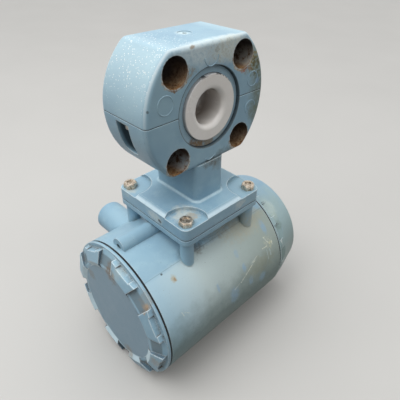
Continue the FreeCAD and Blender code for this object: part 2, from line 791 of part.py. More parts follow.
def housing():
    """Cylinder with bolt flange, pedestal, bosses and the wall between its two rooms."""
    body = new_body("housing")
    length = d.front_reach + d.rear_reach
    barrel = new_sketch(body, "BarrelCircle", "XZ_Plane", d.front_reach)
    add_circle(barrel, d.shell_radius)
    pad(body, "Barrel", barrel, length, down=True)

    base = d.joint_height - d.base_flange_thickness
    pedestal = new_sketch(body, "PedestalCircle", "XY_Plane")
    add_circle(pedestal, d.pedestal_radius)
    pad(body, "Pedestal", pedestal, base)
    plate = new_sketch(body, "BaseSquare", "XY_Plane", base)
    add_box(plate, (-plate_half, -plate_half), (plate_half, plate_half))
    pad(body, "BaseFlange", plate, d.base_flange_thickness)
    round_edges(body, "BaseCorners", d.flange_corner,
                lambda p: near(abs(p.x), plate_half) and near(abs(p.y), plate_half))
    boss = new_sketch(body, "BossCircle", "XY_Plane", d.boss_foot)
    add_circle(boss, d.boss_radius, flange_bolt_half, flange_bolt_half)
    corner_boss = pad(body, "CornerBoss", boss, base - d.boss_foot)
    around(body, "CornerBosses", [corner_boss], "Z_Axis", 4)

    lock_start = d.front_reach - d.lock_boss_setback
    lock = new_sketch(body, "LockCircle", "XZ_Plane", lock_start)
    add_circle(lock, d.lock_boss_radius, -d.lock_boss_side, d.lock_boss_height)
    pad(body, "LockBoss", lock, lock_start - d.pedestal_radius * 0.8, down=True)

    conduit = new_sketch(body, "ConduitBoss", "YZ_Plane", -d.conduit_reach)
    add_circle(conduit, d.conduit_boss_radius, -d.conduit_place, d.conduit_height)
    pad(body, "ConduitStub", conduit, d.conduit_reach * 0.55)
    round_edges(body, "StubEdge", 2.5, lambda p: near(p.x, -d.conduit_reach))

    front_room = new_sketch(body, "FrontRoom", "XZ_Plane", d.front_reach)
    add_circle(front_room, d.barrel_bore)
    pocket(body, "FieldRoom", front_room, d.front_reach - d.partition_place)
    rear_room = new_sketch(body, "RearRoom", "XZ_Plane", -d.rear_reach)
    add_circle(rear_room, d.barrel_bore)
    pocket(body, "ElectronicsRoom", rear_room, d.rear_reach - partition_rear, up=True)

    opening = new_sketch(body, "NeckOpening", "XY_Plane", d.joint_height)
    add_circle(opening, d.neck_opening)
    pocket(body, "NeckWay", opening, d.joint_height - d.barrel_bore * 0.7)
    threads = new_sketch(body, "BoltThread", "XY_Plane", d.joint_height)
    add_circle(threads, d.bolt_radius, flange_bolt_half, flange_bolt_half)
    thread = pocket(body, "Thread", threads, d.bolt_length - d.pad_thickness + 2.0)
    around(body, "Threads", [thread], "Z_Axis", 4)
    entry = new_sketch(body, "ConduitEntry", "YZ_Plane", -d.conduit_reach)
    add_circle(entry, d.conduit_radius, -d.conduit_place, d.conduit_height)
    pocket(body, "ConduitWay", entry, d.conduit_reach * 0.72, up=True)
    lock_hole = new_sketch(body, "LockHole", "XZ_Plane", lock_start)
    add_circle(lock_hole, d.lock_screw_radius + 0.05, -d.lock_boss_side, d.lock_boss_height)
    pocket(body, "LockWay", lock_hole, 20.0)
    wire_hole = new_sketch(body, "WireHole", "XZ_Plane", d.partition_place)
    add_circle(wire_hole, d.connector_radius, ZERO, -d.connector_radius * 3)
    pocket(body, "WireWay", wire_hole, d.partition_thickness)
    place(body, z=-d.housing_drop)


def bulkhead_connector():
    """The plug that carries the wires through the wall between the two rooms."""
    body = new_body("bulkhead_connector")
    outline = new_sketch(body, "ConnectorOutline", "XZ_Plane")
    inner = d.connector_radius - d.seat_play
    collar = d.connector_radius + 2.5
    length = d.partition_thickness + 8.0
    add_outline(outline, [
        (ZERO, ZERO), (collar, ZERO), (collar, 2.5), (inner, 2.5), (inner, length),
        (ZERO, length),
    ])
    turned(body, "Connector", outline, "Z_Axis")
    place(body, y=-d.partition_place - 2.5, z=-d.housing_drop - d.connector_radius * 3,
          turn=rotation(X_AXIS, -90))


def cover_lock_screw():
    body = new_body("cover_lock_screw")
    start = d.front_reach - d.lock_boss_setback - 2.0
    screw = new_sketch(body, "LockScrewCircle", "XZ_Plane", start)
    add_circle(screw, d.lock_screw_radius, -d.lock_boss_side, d.lock_boss_height)
    pad(body, "LockScrew", screw, 12.0, down=True)
    place(body, z=-d.housing_drop)


def seal(label, reach, turn):
    """The flat ring between an end of the barrel and its cover."""
    body = new_body(label)
    section = new_sketch(body, "SealSection", "XY_Plane")
    inner = d.barrel_bore + 0.3
    add_circle(section, inner + d.seal_width)
    add_circle(section, inner)
    pad(body, "Seal", section, d.seal_thickness)
    place(body, y=reach, z=-d.housing_drop, turn=turn)


FRONT_TURN = rotation(X_AXIS, 90)
REAR_TURN = rotation(X_AXIS, -90)


def front_cover():
    """Screwed cover with a ring of eight lugs, a sloping notch between each pair."""
    body = new_body("front_cover")
    skirt_inner = skirt_radius - d.skirt_wall
    skirt_end = cover_seat - d.skirt_length
    lug_corner = d.lug_flat + 1.7
    outline = new_sketch(body, "CoverOutline", "XZ_Plane")
    add_outline(outline, [
        (ZERO, d.front_cavity_depth), (skirt_inner, d.front_cavity_depth),
        (skirt_inner, skirt_end), (skirt_radius, skirt_end), (skirt_radius, cover_seat),
        (d.shell_radius, cover_seat), (d.shell_radius, rim_top), (lug_corner + 1.0, rim_top),
        (lug_corner, d.lug_corner_height), (d.crest_radius, d.crest_height),
        (d.disc_radius, d.disc_height), (ZERO, d.disc_height),
    ])
    turned(body, "Cover", outline, "Z_Axis")

    half_pitch = 180.0 / LUGS
    facet = new_sketch(body, "FacetOutline", "XZ_Plane", turn=half_pitch)
    top = d.crest_height + BEYOND
    outside = d.shell_radius + BEYOND
    add_box(facet, (d.lug_flat, rim_top), (outside, top))
    facet_cut = pocket(body, "Facet", facet, d.shell_radius, both_ways=True)
    around(body, "Facets", [facet_cut], "Z_Axis", LUGS)

    grip = new_sketch(body, "GripOutline", "XZ_Plane", turn=half_pitch)
    add_box(grip, (d.lug_flat - d.grip_depth, rim_top + 0.6), (outside, top))
    grip_cut = pocket(body, "Grip", grip, d.grip_width, both_ways=True)
    around(body, "Grips", [grip_cut], "Z_Axis", LUGS)

    notch = new_sketch(body, "NotchOutline", "XZ_Plane")
    add_outline(notch, [
        (d.disc_radius, d.disc_height), (d.notch_foot_radius, d.disc_height),
        (lug_corner + 1.0, rim_top), (outside, rim_top),
        (outside, top), (d.disc_radius, top),
    ])
    notch_cut = pocket(body, "Notch", notch, d.notch_width, both_ways=True)
    around(body, "Notches", [notch_cut], "Z_Axis", LUGS)
    place(body, y=-d.front_reach, z=-d.housing_drop,
          turn=FRONT_TURN * rotation(Z_AXIS, d.front_cover_turn.value))


def rear_cover():
    """Deep screwed cover with a broad round shoulder and grip recesses round its rim."""
    body = new_body("rear_cover")
    skirt_inner = skirt_radius - d.skirt_wall
    skirt_end = cover_seat - d.skirt_length
    cavity_radius = d.dome_end_radius - d.dome_wall
    cavity_depth = d.dome_height - d.dome_wall
    outline = new_sketch(body, "CoverOutline", "XZ_Plane")
    add_outline(outline, [
        (ZERO, cavity_depth), (cavity_radius, cavity_depth), (skirt_inner, d.dome_shoulder),
        (skirt_inner, skirt_end), (skirt_radius, skirt_end), (skirt_radius, cover_seat),
        (d.dome_radius, cover_seat), (d.dome_radius, d.dome_shoulder),
        (d.dome_end_radius, d.dome_height), (ZERO, d.dome_height),
    ])
    turned(body, "Cover", outline, "Z_Axis")

    def ring(radius, height):
        return lambda p: near(p.z, height) and near(math.hypot(p.x, p.y), radius)

    round_edges(body, "EndEdge", d.dome_edge, ring(d.dome_end_radius, d.dome_height))
    round_edges(body, "CavityCorner", d.dome_edge, ring(cavity_radius, cavity_depth))
    grip = new_sketch(body, "GripOutline", "XZ_Plane")
    add_box(grip, (d.dome_radius - d.dome_grip_depth, d.dome_grip_start),
            (d.dome_radius + BEYOND, d.dome_height))
    grip_cut = pocket(body, "Grip", grip, d.dome_grip_width, both_ways=True)
    around(body, "Grips", [grip_cut], "Z_Axis", DOME_GRIPS)
    place(body, y=d.rear_reach, z=-d.housing_drop,
          turn=REAR_TURN * rotation(Z_AXIS, d.rear_cover_turn.value))


# ----------------------------------------------------------------------- electronics


def terminal_block():
    """Moulded block on the wall of the field room, a barrier between each two ways."""
    body = new_body("terminal_block")
    half, rise = d.block_length / 2, d.block_height / 2
    block = new_sketch(body, "BlockSection", "XZ_Plane", d.partition_place)
    add_box(block, (-half, -rise), (half, rise))
    pad(body, "Block", block, d.block_depth)
    step = new_sketch(body, "StepSection", "XZ_Plane", d.partition_place + d.block_depth)
    add_box(step, (-half, -rise * 0.5), (half, rise * 0.5))
    pocket(body, "ScrewTrough", step, d.block_depth * 0.35)
    barrier = new_sketch(body, "BarrierSection", "XZ_Plane",
                         d.partition_place + d.block_depth * 0.6)
    first = -d.terminal_pitch * (TERMINALS / 2)
    add_box(barrier, (first - 0.6, -rise * 0.5), (first + 0.6, rise * 0.5))
    wall = pad(body, "Barrier", barrier, d.block_depth * 0.4)
    doc.recompute()
    row = body.newObject("PartDesign::LinearPattern", "Barriers")
    row.Originals = [wall]
    row.Direction = (origin_feature(body, "X_Axis"), [""])
    bind(row, "Length", d.terminal_pitch * TERMINALS)
    row.Occurrences = TERMINALS + 1
    body.Tip = row
    doc.recompute()
    place(body, z=-d.housing_drop)


def terminal_screws():
    seat = d.partition_place + d.block_depth * 0.65
    screws = []
    for index in range(TERMINALS):
        x = d.terminal_pitch * (index - (TERMINALS - 1) / 2)
        head = part("Cylinder", "TerminalHead", Radius=2.6, Height=2.2)
        place(head, x=x, y=-seat, z=-d.housing_drop, turn=rotation(X_AXIS, 90))
        drive = part("Box", "TerminalDrive", Length=6.0, Width=1.5, Height=0.8)
        place(drive, x=x - 3.0, y=-seat - 2.9, z=-d.housing_drop - 0.4)
        screws.append(cut_from(head, drive))
    grouped("terminal_screws", screws)


def ground_screw():
    """Earth terminal on the wall of the field room."""
    x, z = d.ground_screw_side, -d.ground_screw_depth - d.housing_drop
    hexagon = part("Prism", "GroundHex", Circumradius=4.6, Height=3.5)
    hexagon.Polygon = 6
    washer = part("Cylinder", "GroundWasher", Radius=6.0, Height=1.5)
    for item, y in ((washer, -d.partition_place), (hexagon, -d.partition_place - 1.5)):
        place(item, x=x, y=y, z=z, turn=rotation(X_AXIS, 90))
    screw = joined("ground_screw", [washer, hexagon])
    screw.Label = "ground_screw"
    SUB_PARTS.append(screw)


def post_spots():
    for across in (-1, 1):
        for along in (-1, 1):
            yield across * d.post_side, along * d.post_height - d.housing_drop


def board_posts():
    posts = []
    length = d.power_board_place - partition_rear
    for x, z in post_spots():
        post = part("Cylinder", "Post", Radius=d.post_radius, Height=length)
        hole = part("Cylinder", "PostThread", Radius=d.board_screw_radius + 0.05, Height=8.0)
        place(post, x=x, y=partition_rear, z=z, turn=REAR_TURN)
        place(hole, x=x, y=d.power_board_place - 8.0, z=z, turn=REAR_TURN)
        posts.append(cut_from(post, hole))
    grouped("board_posts", posts)


def board(label, near_face, parts_on_it):
    """A round board with its screw holes and the tall parts soldered to it."""
    body = new_body(label)
    disc = new_sketch(body, "BoardCircle", "XZ_Plane", -near_face)
    add_circle(disc, d.board_radius)
    for across in (-1, 1):
        for along in (-1, 1):
            add_circle(disc, d.board_screw_radius + 0.1, across * d.post_side,
                       along * d.post_height)
    pad(body, "Board", disc, d.board_thickness, down=True)
    for name, low, high, height in parts_on_it:
        section = new_sketch(body, name + "Section", "XZ_Plane", -(near_face + d.board_thickness))
        add_box(section, low, high)
        pad(body, name, section, height, down=True)
    place(body, z=-d.housing_drop)


def board_spacers():
    spacers = []
    for x, z in post_spots():
        tube = part("Cylinder", "Spacer", Radius=d.post_radius, Height=d.spacer_length)
        hole = part("Cylinder", "SpacerBore", Radius=d.board_screw_radius + 0.1,
                    Height=d.spacer_length)
        for item in (tube, hole):
            place(item, x=x, y=d.power_board_place + d.board_thickness, z=z, turn=REAR_TURN)
        spacers.append(cut_from(tube, hole))
    grouped("board_spacers", spacers)


def board_screws():
    screws = []
    top = main_board_place + d.board_thickness
    reach = d.spacer_length + 2 * d.board_thickness + 7.0
    for x, z in post_spots():
        shank = part("Cylinder", "BoardShank", Radius=d.board_screw_radius, Height=reach)
        place(shank, x=x, y=top - reach, z=z, turn=REAR_TURN)
        head = part("Cylinder", "BoardHead", Radius=2.8, Height=2.0)
        place(head, x=x, y=top, z=z, turn=REAR_TURN)
        screws.append(joined("BoardScrew", [shank, head]))
    grouped("board_screws", screws)


def power_transformer():
    body = new_body("power_transformer")
    core = new_sketch(body, "CoreSection", "XZ_Plane", -(d.power_board_place + d.board_thickness))
    add_box(core, (-14.0, -12.0), (14.0, 12.0))
    pad(body, "Core", core, 13.0, down=True)
    place(body, z=-d.housing_drop)


# ------------------------------------------------------------------------ the assembly

upper_shell()
lower_body()
clamp_screws()
ceramic_liner()
end_ring("end_ring_inlet", -1)
end_ring("end_ring_outlet", 1)
liner_seals()
magnet_yoke()
for position, turn in (("upper", 0), ("lower", 180)):
    pole_core(f"pole_core_{position}", rotation(X_AXIS, turn))
    coil(f"coil_{position}", rotation(X_AXIS, turn))
for position, turn in (("front", 90), ("rear", -90)):
    electrode(f"electrode_{position}", rotation(X_AXIS, turn))
    electrode_cap(f"electrode_cap_{position}", rotation(X_AXIS, turn))
lead_bundle()
feedthrough_plug()
flange_gasket()
flange_bolts()
housing()
bulkhead_connector()
cover_lock_screw()
seal("front_seal", -d.front_reach, FRONT_TURN)
seal("rear_seal", d.rear_reach, REAR_TURN)
front_cover()
rear_cover()
terminal_block()
terminal_screws()
ground_screw()
board_posts()
board("power_board", d.power_board_place, [
    ("Capacitor", (20.0, -16.0), (34.0, 16.0), 11.0),
    ("FuseHolder", (-34.0, -14.0), (-24.0, 14.0), 8.0),
])
board_spacers()
board("main_board", main_board_place, [
    ("Processor", (-9.0, -9.0), (9.0, 9.0), 2.2),
    ("Header", (-22.0, -36.0), (22.0, -29.0), 8.0),
])
board_screws()
power_transformer()

# --------------------------------------------------------------------- check and write

doc.recompute()
for item in doc.Objects:
    if "Invalid" in item.State or "Error" in item.State:
        raise RuntimeError(f"{item.Label} failed: {item.State}")
for item in SUB_PARTS:
    if item.Shape.isNull() or not item.Shape.isValid():
        raise RuntimeError(f"{item.Label} has no valid shape")

os.makedirs("parts", exist_ok=True)
for item in SUB_PARTS:
    item.Shape.exportStep(f"parts/{item.Label}.step")
    print(f"{item.Label:22s} solids {len(item.Shape.Solids)}  volume {item.Shape.Volume:10.1f}")
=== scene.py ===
"""The looks of a used wafer-style electromagnetic flow meter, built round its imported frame."""
import math

import bmesh
import bpy
from mathutils import Matrix, Vector
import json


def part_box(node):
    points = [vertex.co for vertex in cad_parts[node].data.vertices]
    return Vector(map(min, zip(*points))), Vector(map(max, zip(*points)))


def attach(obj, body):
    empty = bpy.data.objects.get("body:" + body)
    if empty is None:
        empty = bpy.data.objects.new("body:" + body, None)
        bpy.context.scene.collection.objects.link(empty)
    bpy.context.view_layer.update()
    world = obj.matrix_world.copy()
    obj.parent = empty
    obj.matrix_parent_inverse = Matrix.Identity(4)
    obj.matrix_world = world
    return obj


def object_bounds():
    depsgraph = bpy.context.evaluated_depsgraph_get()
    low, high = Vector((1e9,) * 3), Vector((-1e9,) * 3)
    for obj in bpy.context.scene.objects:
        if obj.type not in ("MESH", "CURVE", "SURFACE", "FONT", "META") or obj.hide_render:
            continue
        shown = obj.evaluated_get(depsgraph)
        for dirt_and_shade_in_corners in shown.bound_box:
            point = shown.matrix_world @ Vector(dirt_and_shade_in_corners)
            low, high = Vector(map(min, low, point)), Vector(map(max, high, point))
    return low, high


MM = 0.001
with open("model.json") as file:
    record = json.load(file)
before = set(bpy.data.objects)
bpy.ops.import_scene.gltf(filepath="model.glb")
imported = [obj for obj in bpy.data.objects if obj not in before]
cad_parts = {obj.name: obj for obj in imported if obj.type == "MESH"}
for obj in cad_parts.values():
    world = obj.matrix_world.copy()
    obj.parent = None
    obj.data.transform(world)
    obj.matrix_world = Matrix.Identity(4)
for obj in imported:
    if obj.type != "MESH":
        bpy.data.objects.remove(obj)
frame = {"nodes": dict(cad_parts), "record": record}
cad_low, cad_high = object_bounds()
nodes = frame["nodes"]


def centre_of(node):
    """The middle of a node's box."""
    low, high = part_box(node)
    return (low + high) / 2


barrel = centre_of("rear_seal")
head_low, head_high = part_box("upper_shell")
joint_height = head_low.z
face = head_high.x
FLOW_BOLT_CIRCLE = 89.0 * MM
bolt_place = FLOW_BOLT_CIRCLE / 2 / math.sqrt(2)
bolt_hole = 10.2 * MM
ring_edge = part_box("end_ring_outlet")[1].z
BOLT_HEAD_HEIGHT = 4.4 * MM
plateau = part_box("flange_bolts")[1].z - BOLT_HEAD_HEIGHT
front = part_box("front_cover")[0].y
seal_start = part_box("housing")[0].y


def srgb(red, green, blue):
    """A colour written as on a screen, 0 to 255, as the linear values that shaders take."""
    def linear(value):
        value /= 255
        return value / 12.92 if value <= 0.04045 else ((value + 0.055) / 1.055) ** 2.4
    return (linear(red), linear(green), linear(blue), 1.0)


# ---- finishes ------------------------------------------------------------------------------

class Finish:
    """One material and the short words that its layers are written with."""

    def __init__(self, name):
        self.material = bpy.data.materials.new(name)
        self.material.use_nodes = True
        self.tree = self.material.node_tree
        self.tree.nodes.clear()
        self.output = self.tree.nodes.new("ShaderNodeOutputMaterial")
        self.shader = self.tree.nodes.new("ShaderNodeBsdfPrincipled")
        self.join(self.shader.outputs[0], self.output.inputs[0])
        self.place = self.tree.nodes.new("ShaderNodeTexCoord").outputs["Object"]
        self.normal = None

    def join(self, source, target):
        self.tree.links.new(source, target)

    def feed(self, target, value):
        """Sets a socket to a number or colour, or links it."""
        if isinstance(value, bpy.types.NodeSocket):
            self.join(value, target)
        elif isinstance(value, tuple) and len(value) == 3 and target.type == "RGBA":
            target.default_value = (*value, 1.0)
        else:
            target.default_value = value

    def node(self, kind, output, *values, **settings):
        """A new node with its first inputs fed in order, and the output asked for."""
        made = self.tree.nodes.new("ShaderNode" + kind)
        for key, value in settings.items():
            setattr(made, key, value)
        for socket, value in zip(made.inputs, values):
            if value is not None:
                self.feed(socket, value)
        return made.outputs[output]

    def sum(self, operation, first, second=0.0, third=None):
        """Plain arithmetic on two or three values."""
        return self.node("Math", 0, first, second, third, operation=operation)

    def times(self, *masks):
        """The product of two or more masks or amounts."""
        product = masks[0]
        for mask in masks[1:]:
            product = self.sum("MULTIPLY", product, mask)
        return product

    def grain(self, scale, detail=2.0, roughness=0.5, stretch=None, shift=0.0):
        """Soft cloudy noise from 0 to 1, scale in lumps per metre."""
        place = self.place
        if stretch or shift:
            place = self.node("Mapping", 0, place, (shift, shift, shift), (0.0, 0.0, 0.0),
                              stretch or (1.0, 1.0, 1.0))
        made = self.tree.nodes.new("ShaderNodeTexNoise")
        self.join(place, made.inputs["Vector"])
        made.inputs["Scale"].default_value = scale
        made.inputs["Detail"].default_value = detail
        made.inputs["Roughness"].default_value = roughness
        return made.outputs["Fac"]

    def fade(self, value, low, high, start=0.0, end=1.0):
        """Maps a value from low..high to start..end, held at both ends."""
        return self.node("MapRange", 0, value, low, high, start, end, clamp=True)

    def without(self, mask):
        """The rest of the surface: 1 where the mask is 0."""
        return self.sum("SUBTRACT", 1.0, mask)

    def off(self, value, middle):
        """How far a value is from the middle, on either side."""
        return self.sum("ABSOLUTE", self.sum("SUBTRACT", value, middle))

    def facing(self):
        """The true direction of the surface."""
        return self.tree.nodes.new("ShaderNodeNewGeometry").outputs["Normal"]

    def axis(self, letter):
        """One coordinate of the surface point."""
        return self.node("SeparateXYZ", "XYZ".index(letter), self.place)

    def distance(self, centre, squeeze=(1.0, 1.0, 1.0)):
        """Distance from a point, in metres, with an axis shrunk or left out by its factor."""
        offset = self.node("VectorMath", 0, self.place, tuple(centre), operation="SUBTRACT")
        scaled = self.node("VectorMath", 0, offset, tuple(squeeze), operation="MULTIPLY")
        return self.node("VectorMath", 1, scaled, operation="LENGTH")

    def patch(self, centre, radius, squeeze=(1.0, 1.0, 1.0), ragged=0.5, scale=260.0):
        """A ragged-edged stain round a point: 1 inside, 0 outside."""
        wobble = self.sum("MULTIPLY_ADD", self.grain(scale, 3.0, 0.6), -radius * ragged * 2,
                          radius * ragged)
        reach = self.sum("ADD", self.distance(centre, squeeze), wobble)
        return self.fade(reach, radius * 1.15, radius * 0.55)

    def paint_over(self, under, colour, amount):
        """Lays one colour over another by an amount from 0 to 1."""
        made = self.tree.nodes.new("ShaderNodeMix")
        made.data_type = "RGBA"
        self.feed(made.inputs[0], amount)
        self.feed(made.inputs[6], under)
        self.feed(made.inputs[7], colour)
        return made.outputs[2]

    def bump(self, height, strength, distance=MM):
        """Adds a small relief to the surface."""
        made = self.tree.nodes.new("ShaderNodeBump")
        made.inputs["Strength"].default_value = strength
        made.inputs["Distance"].default_value = distance
        self.feed(made.inputs["Height"], height)
        if self.normal is not None:
            self.join(self.normal, made.inputs["Normal"])
        self.normal = made.outputs[0]

    def rounded(self, radius):
        """Softens sharp edges as a casting's are, and keeps a mask of where they run."""
        made = self.tree.nodes.new("ShaderNodeBevel")
        made.samples = 8
        made.inputs["Radius"].default_value = radius
        self.normal = made.outputs[0]
        self.edge = self.node("VectorMath", 1, made.outputs[0], self.facing(),
                              operation="DOT_PRODUCT")

    def edges(self, low, high):
        """1 on the sharp edges and 0 on the open faces."""
        return self.fade(self.edge, high, low)

    def scratch(self, start, end, width):
        """1 on a straight scratch between two points of the surface."""
        start, end = Vector(start), Vector(end)
        run = end - start
        offset = self.node("VectorMath", 0, self.place, tuple(start), operation="SUBTRACT")
        along = self.node("VectorMath", 1, offset, tuple(run / run.length_squared),
                          operation="DOT_PRODUCT")
        along = self.fade(along, 0.0, 1.0)
        made = self.node("VectorMath", 0, tuple(run), operation="SCALE")
        self.feed(made.node.inputs["Scale"], along)
        away = self.node("VectorMath", 0, offset, made, operation="SUBTRACT")
        away = self.node("VectorMath", 1, away, operation="LENGTH")
        return self.fade(away, width * 1.3, width * 0.6)

    def corners(self, reach):
        """1 deep in the corners and 0 on the open faces."""
        made = self.tree.nodes.new("ShaderNodeAmbientOcclusion")
        made.samples = 6
        made.inputs["Distance"].default_value = reach
        return self.sum("SUBTRACT", 1.0, made.outputs["AO"])

    def done(self, colour, roughness, metallic=0.0, **constants):
        """Links the layers to the shader and hands the material over."""
        self.feed(self.shader.inputs["Base Color"], colour)
        self.feed(self.shader.inputs["Roughness"], roughness)
        self.feed(self.shader.inputs["Metallic"], metallic)
        for key, value in constants.items():
            self.shader.inputs[key.replace("_", " ")].default_value = value
        if self.normal is not None:
            self.join(self.normal, self.shader.inputs["Normal"])
        return self.material


PAINT = srgb(148, 184, 204)
PAINT_FADED = srgb(172, 204, 216)
PAINT_DEEP = srgb(126, 163, 188)
DUST = srgb(196, 206, 202)
PALE_EDGE_AND_HIGHLIGHT = srgb(222, 238, 244)
EARTH = srgb(116, 94, 68)
RUST = srgb(136, 98, 60)
TAN_FLAKE = srgb(168, 142, 108)
HOLE_SHADE = srgb(26, 20, 17)
GRIME = srgb(112, 120, 98)
SHADOW_DIRT = srgb(58, 66, 70)
CORNER_DIRT_AND_SHADE = srgb(88, 96, 94)
FLY_SPOT = srgb(64, 68, 66)
PAINT_DOT = srgb(244, 250, 250)
BARE_CHIP = srgb(92, 80, 64)
VERY_RAGGED = 1.2


def from_barrel(f):
    """Distance from the axis of the housing and its covers."""
    return f.distance((0, 0, barrel.z), (1, 0, 1))


def from_bore(f):
    """Distance from the axis of the measuring tube."""
    return f.distance((0, 0, 0), (0, 1, 1))


def casting(name, stains=(), scratches=(), bolt_level=None, joint=None, specks=0.0,
            film=None, grime_and_shade=0.6, edge_wear_and_highlight=0.6, seam=None, seam_shade=SHADOW_DIRT,
            corner_dirt_and_shade=CORNER_DIRT_AND_SHADE, round_off=0.8, spared=None):
    """Light grey-blue paint on a cast surface, with paler edges from abrasion and a painted
    highlight, dirt and painted shade in the corners, and the marks listed.

    A stain is (centre, radius, squeeze, colour, strength, ragged edge), and a scratch is
    (start, end, width, colour, strength). A very ragged stain breaks up into specks. The
    film, seam and spared values are functions of the finish: the film recolours the clean
    paint, the seam gives a mask for the seam's shade, and edges in the spared place stay
    painted. The bolt level is the height of the rusty flow holes, and the joint is the height
    of a thin dark line.
    """
    f = Finish(name)
    f.rounded(round_off * MM)
    cloud = f.grain(14.0, 4.0, 0.6)
    f.blotch = f.grain(70.0, 5.0, 0.65, shift=3.1)
    f.fine = f.grain(420.0, 4.0, 0.7, shift=2.2)
    colour = f.paint_over(PAINT_DEEP, PAINT_FADED, f.fade(cloud, 0.34, 0.66))
    colour = f.paint_over(PAINT, colour, 0.5)
    colour = f.paint_over(colour, PAINT_FADED, f.fade(f.blotch, 0.50, 0.72, 0.0, 0.45))
    roughness = f.fade(f.blotch, 0.3, 0.8, 0.34, 0.52)
    if film:
        colour, roughness = film(f, colour, roughness)
    crumbs = f.fade(f.fine, 0.36, 0.52, 0.55, 1.0)
    speckle = f.fade(f.fine, 0.46, 0.53, 0.12, 1.0)
    for centre, radius, squeeze, shade, strength, ragged in stains:
        mask = f.times(f.patch(centre, radius, squeeze, ragged),
                       speckle if ragged > VERY_RAGGED else crumbs)
        colour = f.paint_over(colour, shade, f.times(mask, strength))
    for start, end, width, shade, strength in scratches:
        mask = f.times(f.scratch(start, end, width), f.fade(f.fine, 0.38, 0.55))
        colour = f.paint_over(colour, shade, f.times(mask, strength))
    pits = f.grain(900.0, 2.0, 0.6, shift=1.7)
    fly = f.times(f.fade(pits, 0.68, 0.73), f.fade(f.blotch, 0.45, 0.6))
    colour = f.paint_over(colour, FLY_SPOT, f.times(fly, 0.5))
    if specks:
        colour = f.paint_over(colour, PAINT_DOT, f.times(paint_dots(f), specks))
    # dirt and painted shade deep in the corners
    sunk = f.corners(6 * MM)
    dirt_and_shade_in_corners = f.times(f.fade(sunk, 0.15, 0.60),
                     f.fade(f.grain(150.0, 5.0, 0.7, shift=6.1), 0.34, 0.60))
    colour = f.paint_over(colour, corner_dirt_and_shade, f.times(dirt_and_shade_in_corners, grime_and_shade))
    # paler edges from abrasion, with a painted edge highlight
    worn_and_highlit = f.times(f.edges(0.88, 0.995), f.fade(f.fine, 0.28, 0.48), f.fade(sunk, 0.42, 0.22))
    if spared:
        worn_and_highlit = f.times(worn_and_highlit, f.without(spared(f)))
    colour = f.paint_over(colour, PALE_EDGE_AND_HIGHLIGHT, f.times(worn_and_highlit, edge_wear_and_highlight))
    chips = f.times(f.edges(0.84, 0.97), f.fade(f.fine, 0.64, 0.67))
    colour = f.paint_over(colour, BARE_CHIP, f.times(chips, 0.85))
    roughness = f.sum("MULTIPLY_ADD", dirt_and_shade_in_corners, 0.25, roughness)
    if joint is not None:
        gap = f.off(f.axis("Z"), joint)
        colour = f.paint_over(colour, SHADOW_DIRT, f.fade(gap, 0.36 * MM, 0.16 * MM, 0.0, 0.9))
    if seam is not None:
        colour = f.paint_over(colour, seam_shade, seam(f))
    if bolt_level is not None:
        colour, roughness = bolt_bore_rust_and_painted_light(f, colour, roughness, bolt_level)
    f.bump(f.grain(1500.0, 2.0, 0.5), 0.12, 0.3 * MM)
    f.bump(f.grain(260.0, 4.0, 0.6), 0.20, 0.6 * MM)
    return f.done(colour, roughness, Specular_IOR_Level=0.3, Coat_Weight=0.06,
                  Coat_Roughness=0.2)


def paint_dots(f):
    """Fine overspray dots, thickest high on the flank and none on the face."""
    dots = f.tree.nodes.new("ShaderNodeTexVoronoi")
    dots.inputs["Scale"].default_value = 760.0
    f.join(f.place, dots.inputs["Vector"])
    height = f.fade(f.axis("Z"), -0.012, 0.030)
    chance = f.node("SeparateXYZ", 0, dots.outputs["Color"])
    chance = f.sum("MULTIPLY_ADD", height, 0.42, chance)
    dot = f.sum("LESS_THAN", dots.outputs["Distance"], f.fade(chance, 0.55, 1.3, 0.0, 0.32))
    side = f.fade(f.axis("Y"), 0.012, -0.030)
    off_face = f.fade(f.axis("X"), face - 0.5 * MM, face - 3 * MM)
    return f.times(dot, f.times(side, height, off_face))


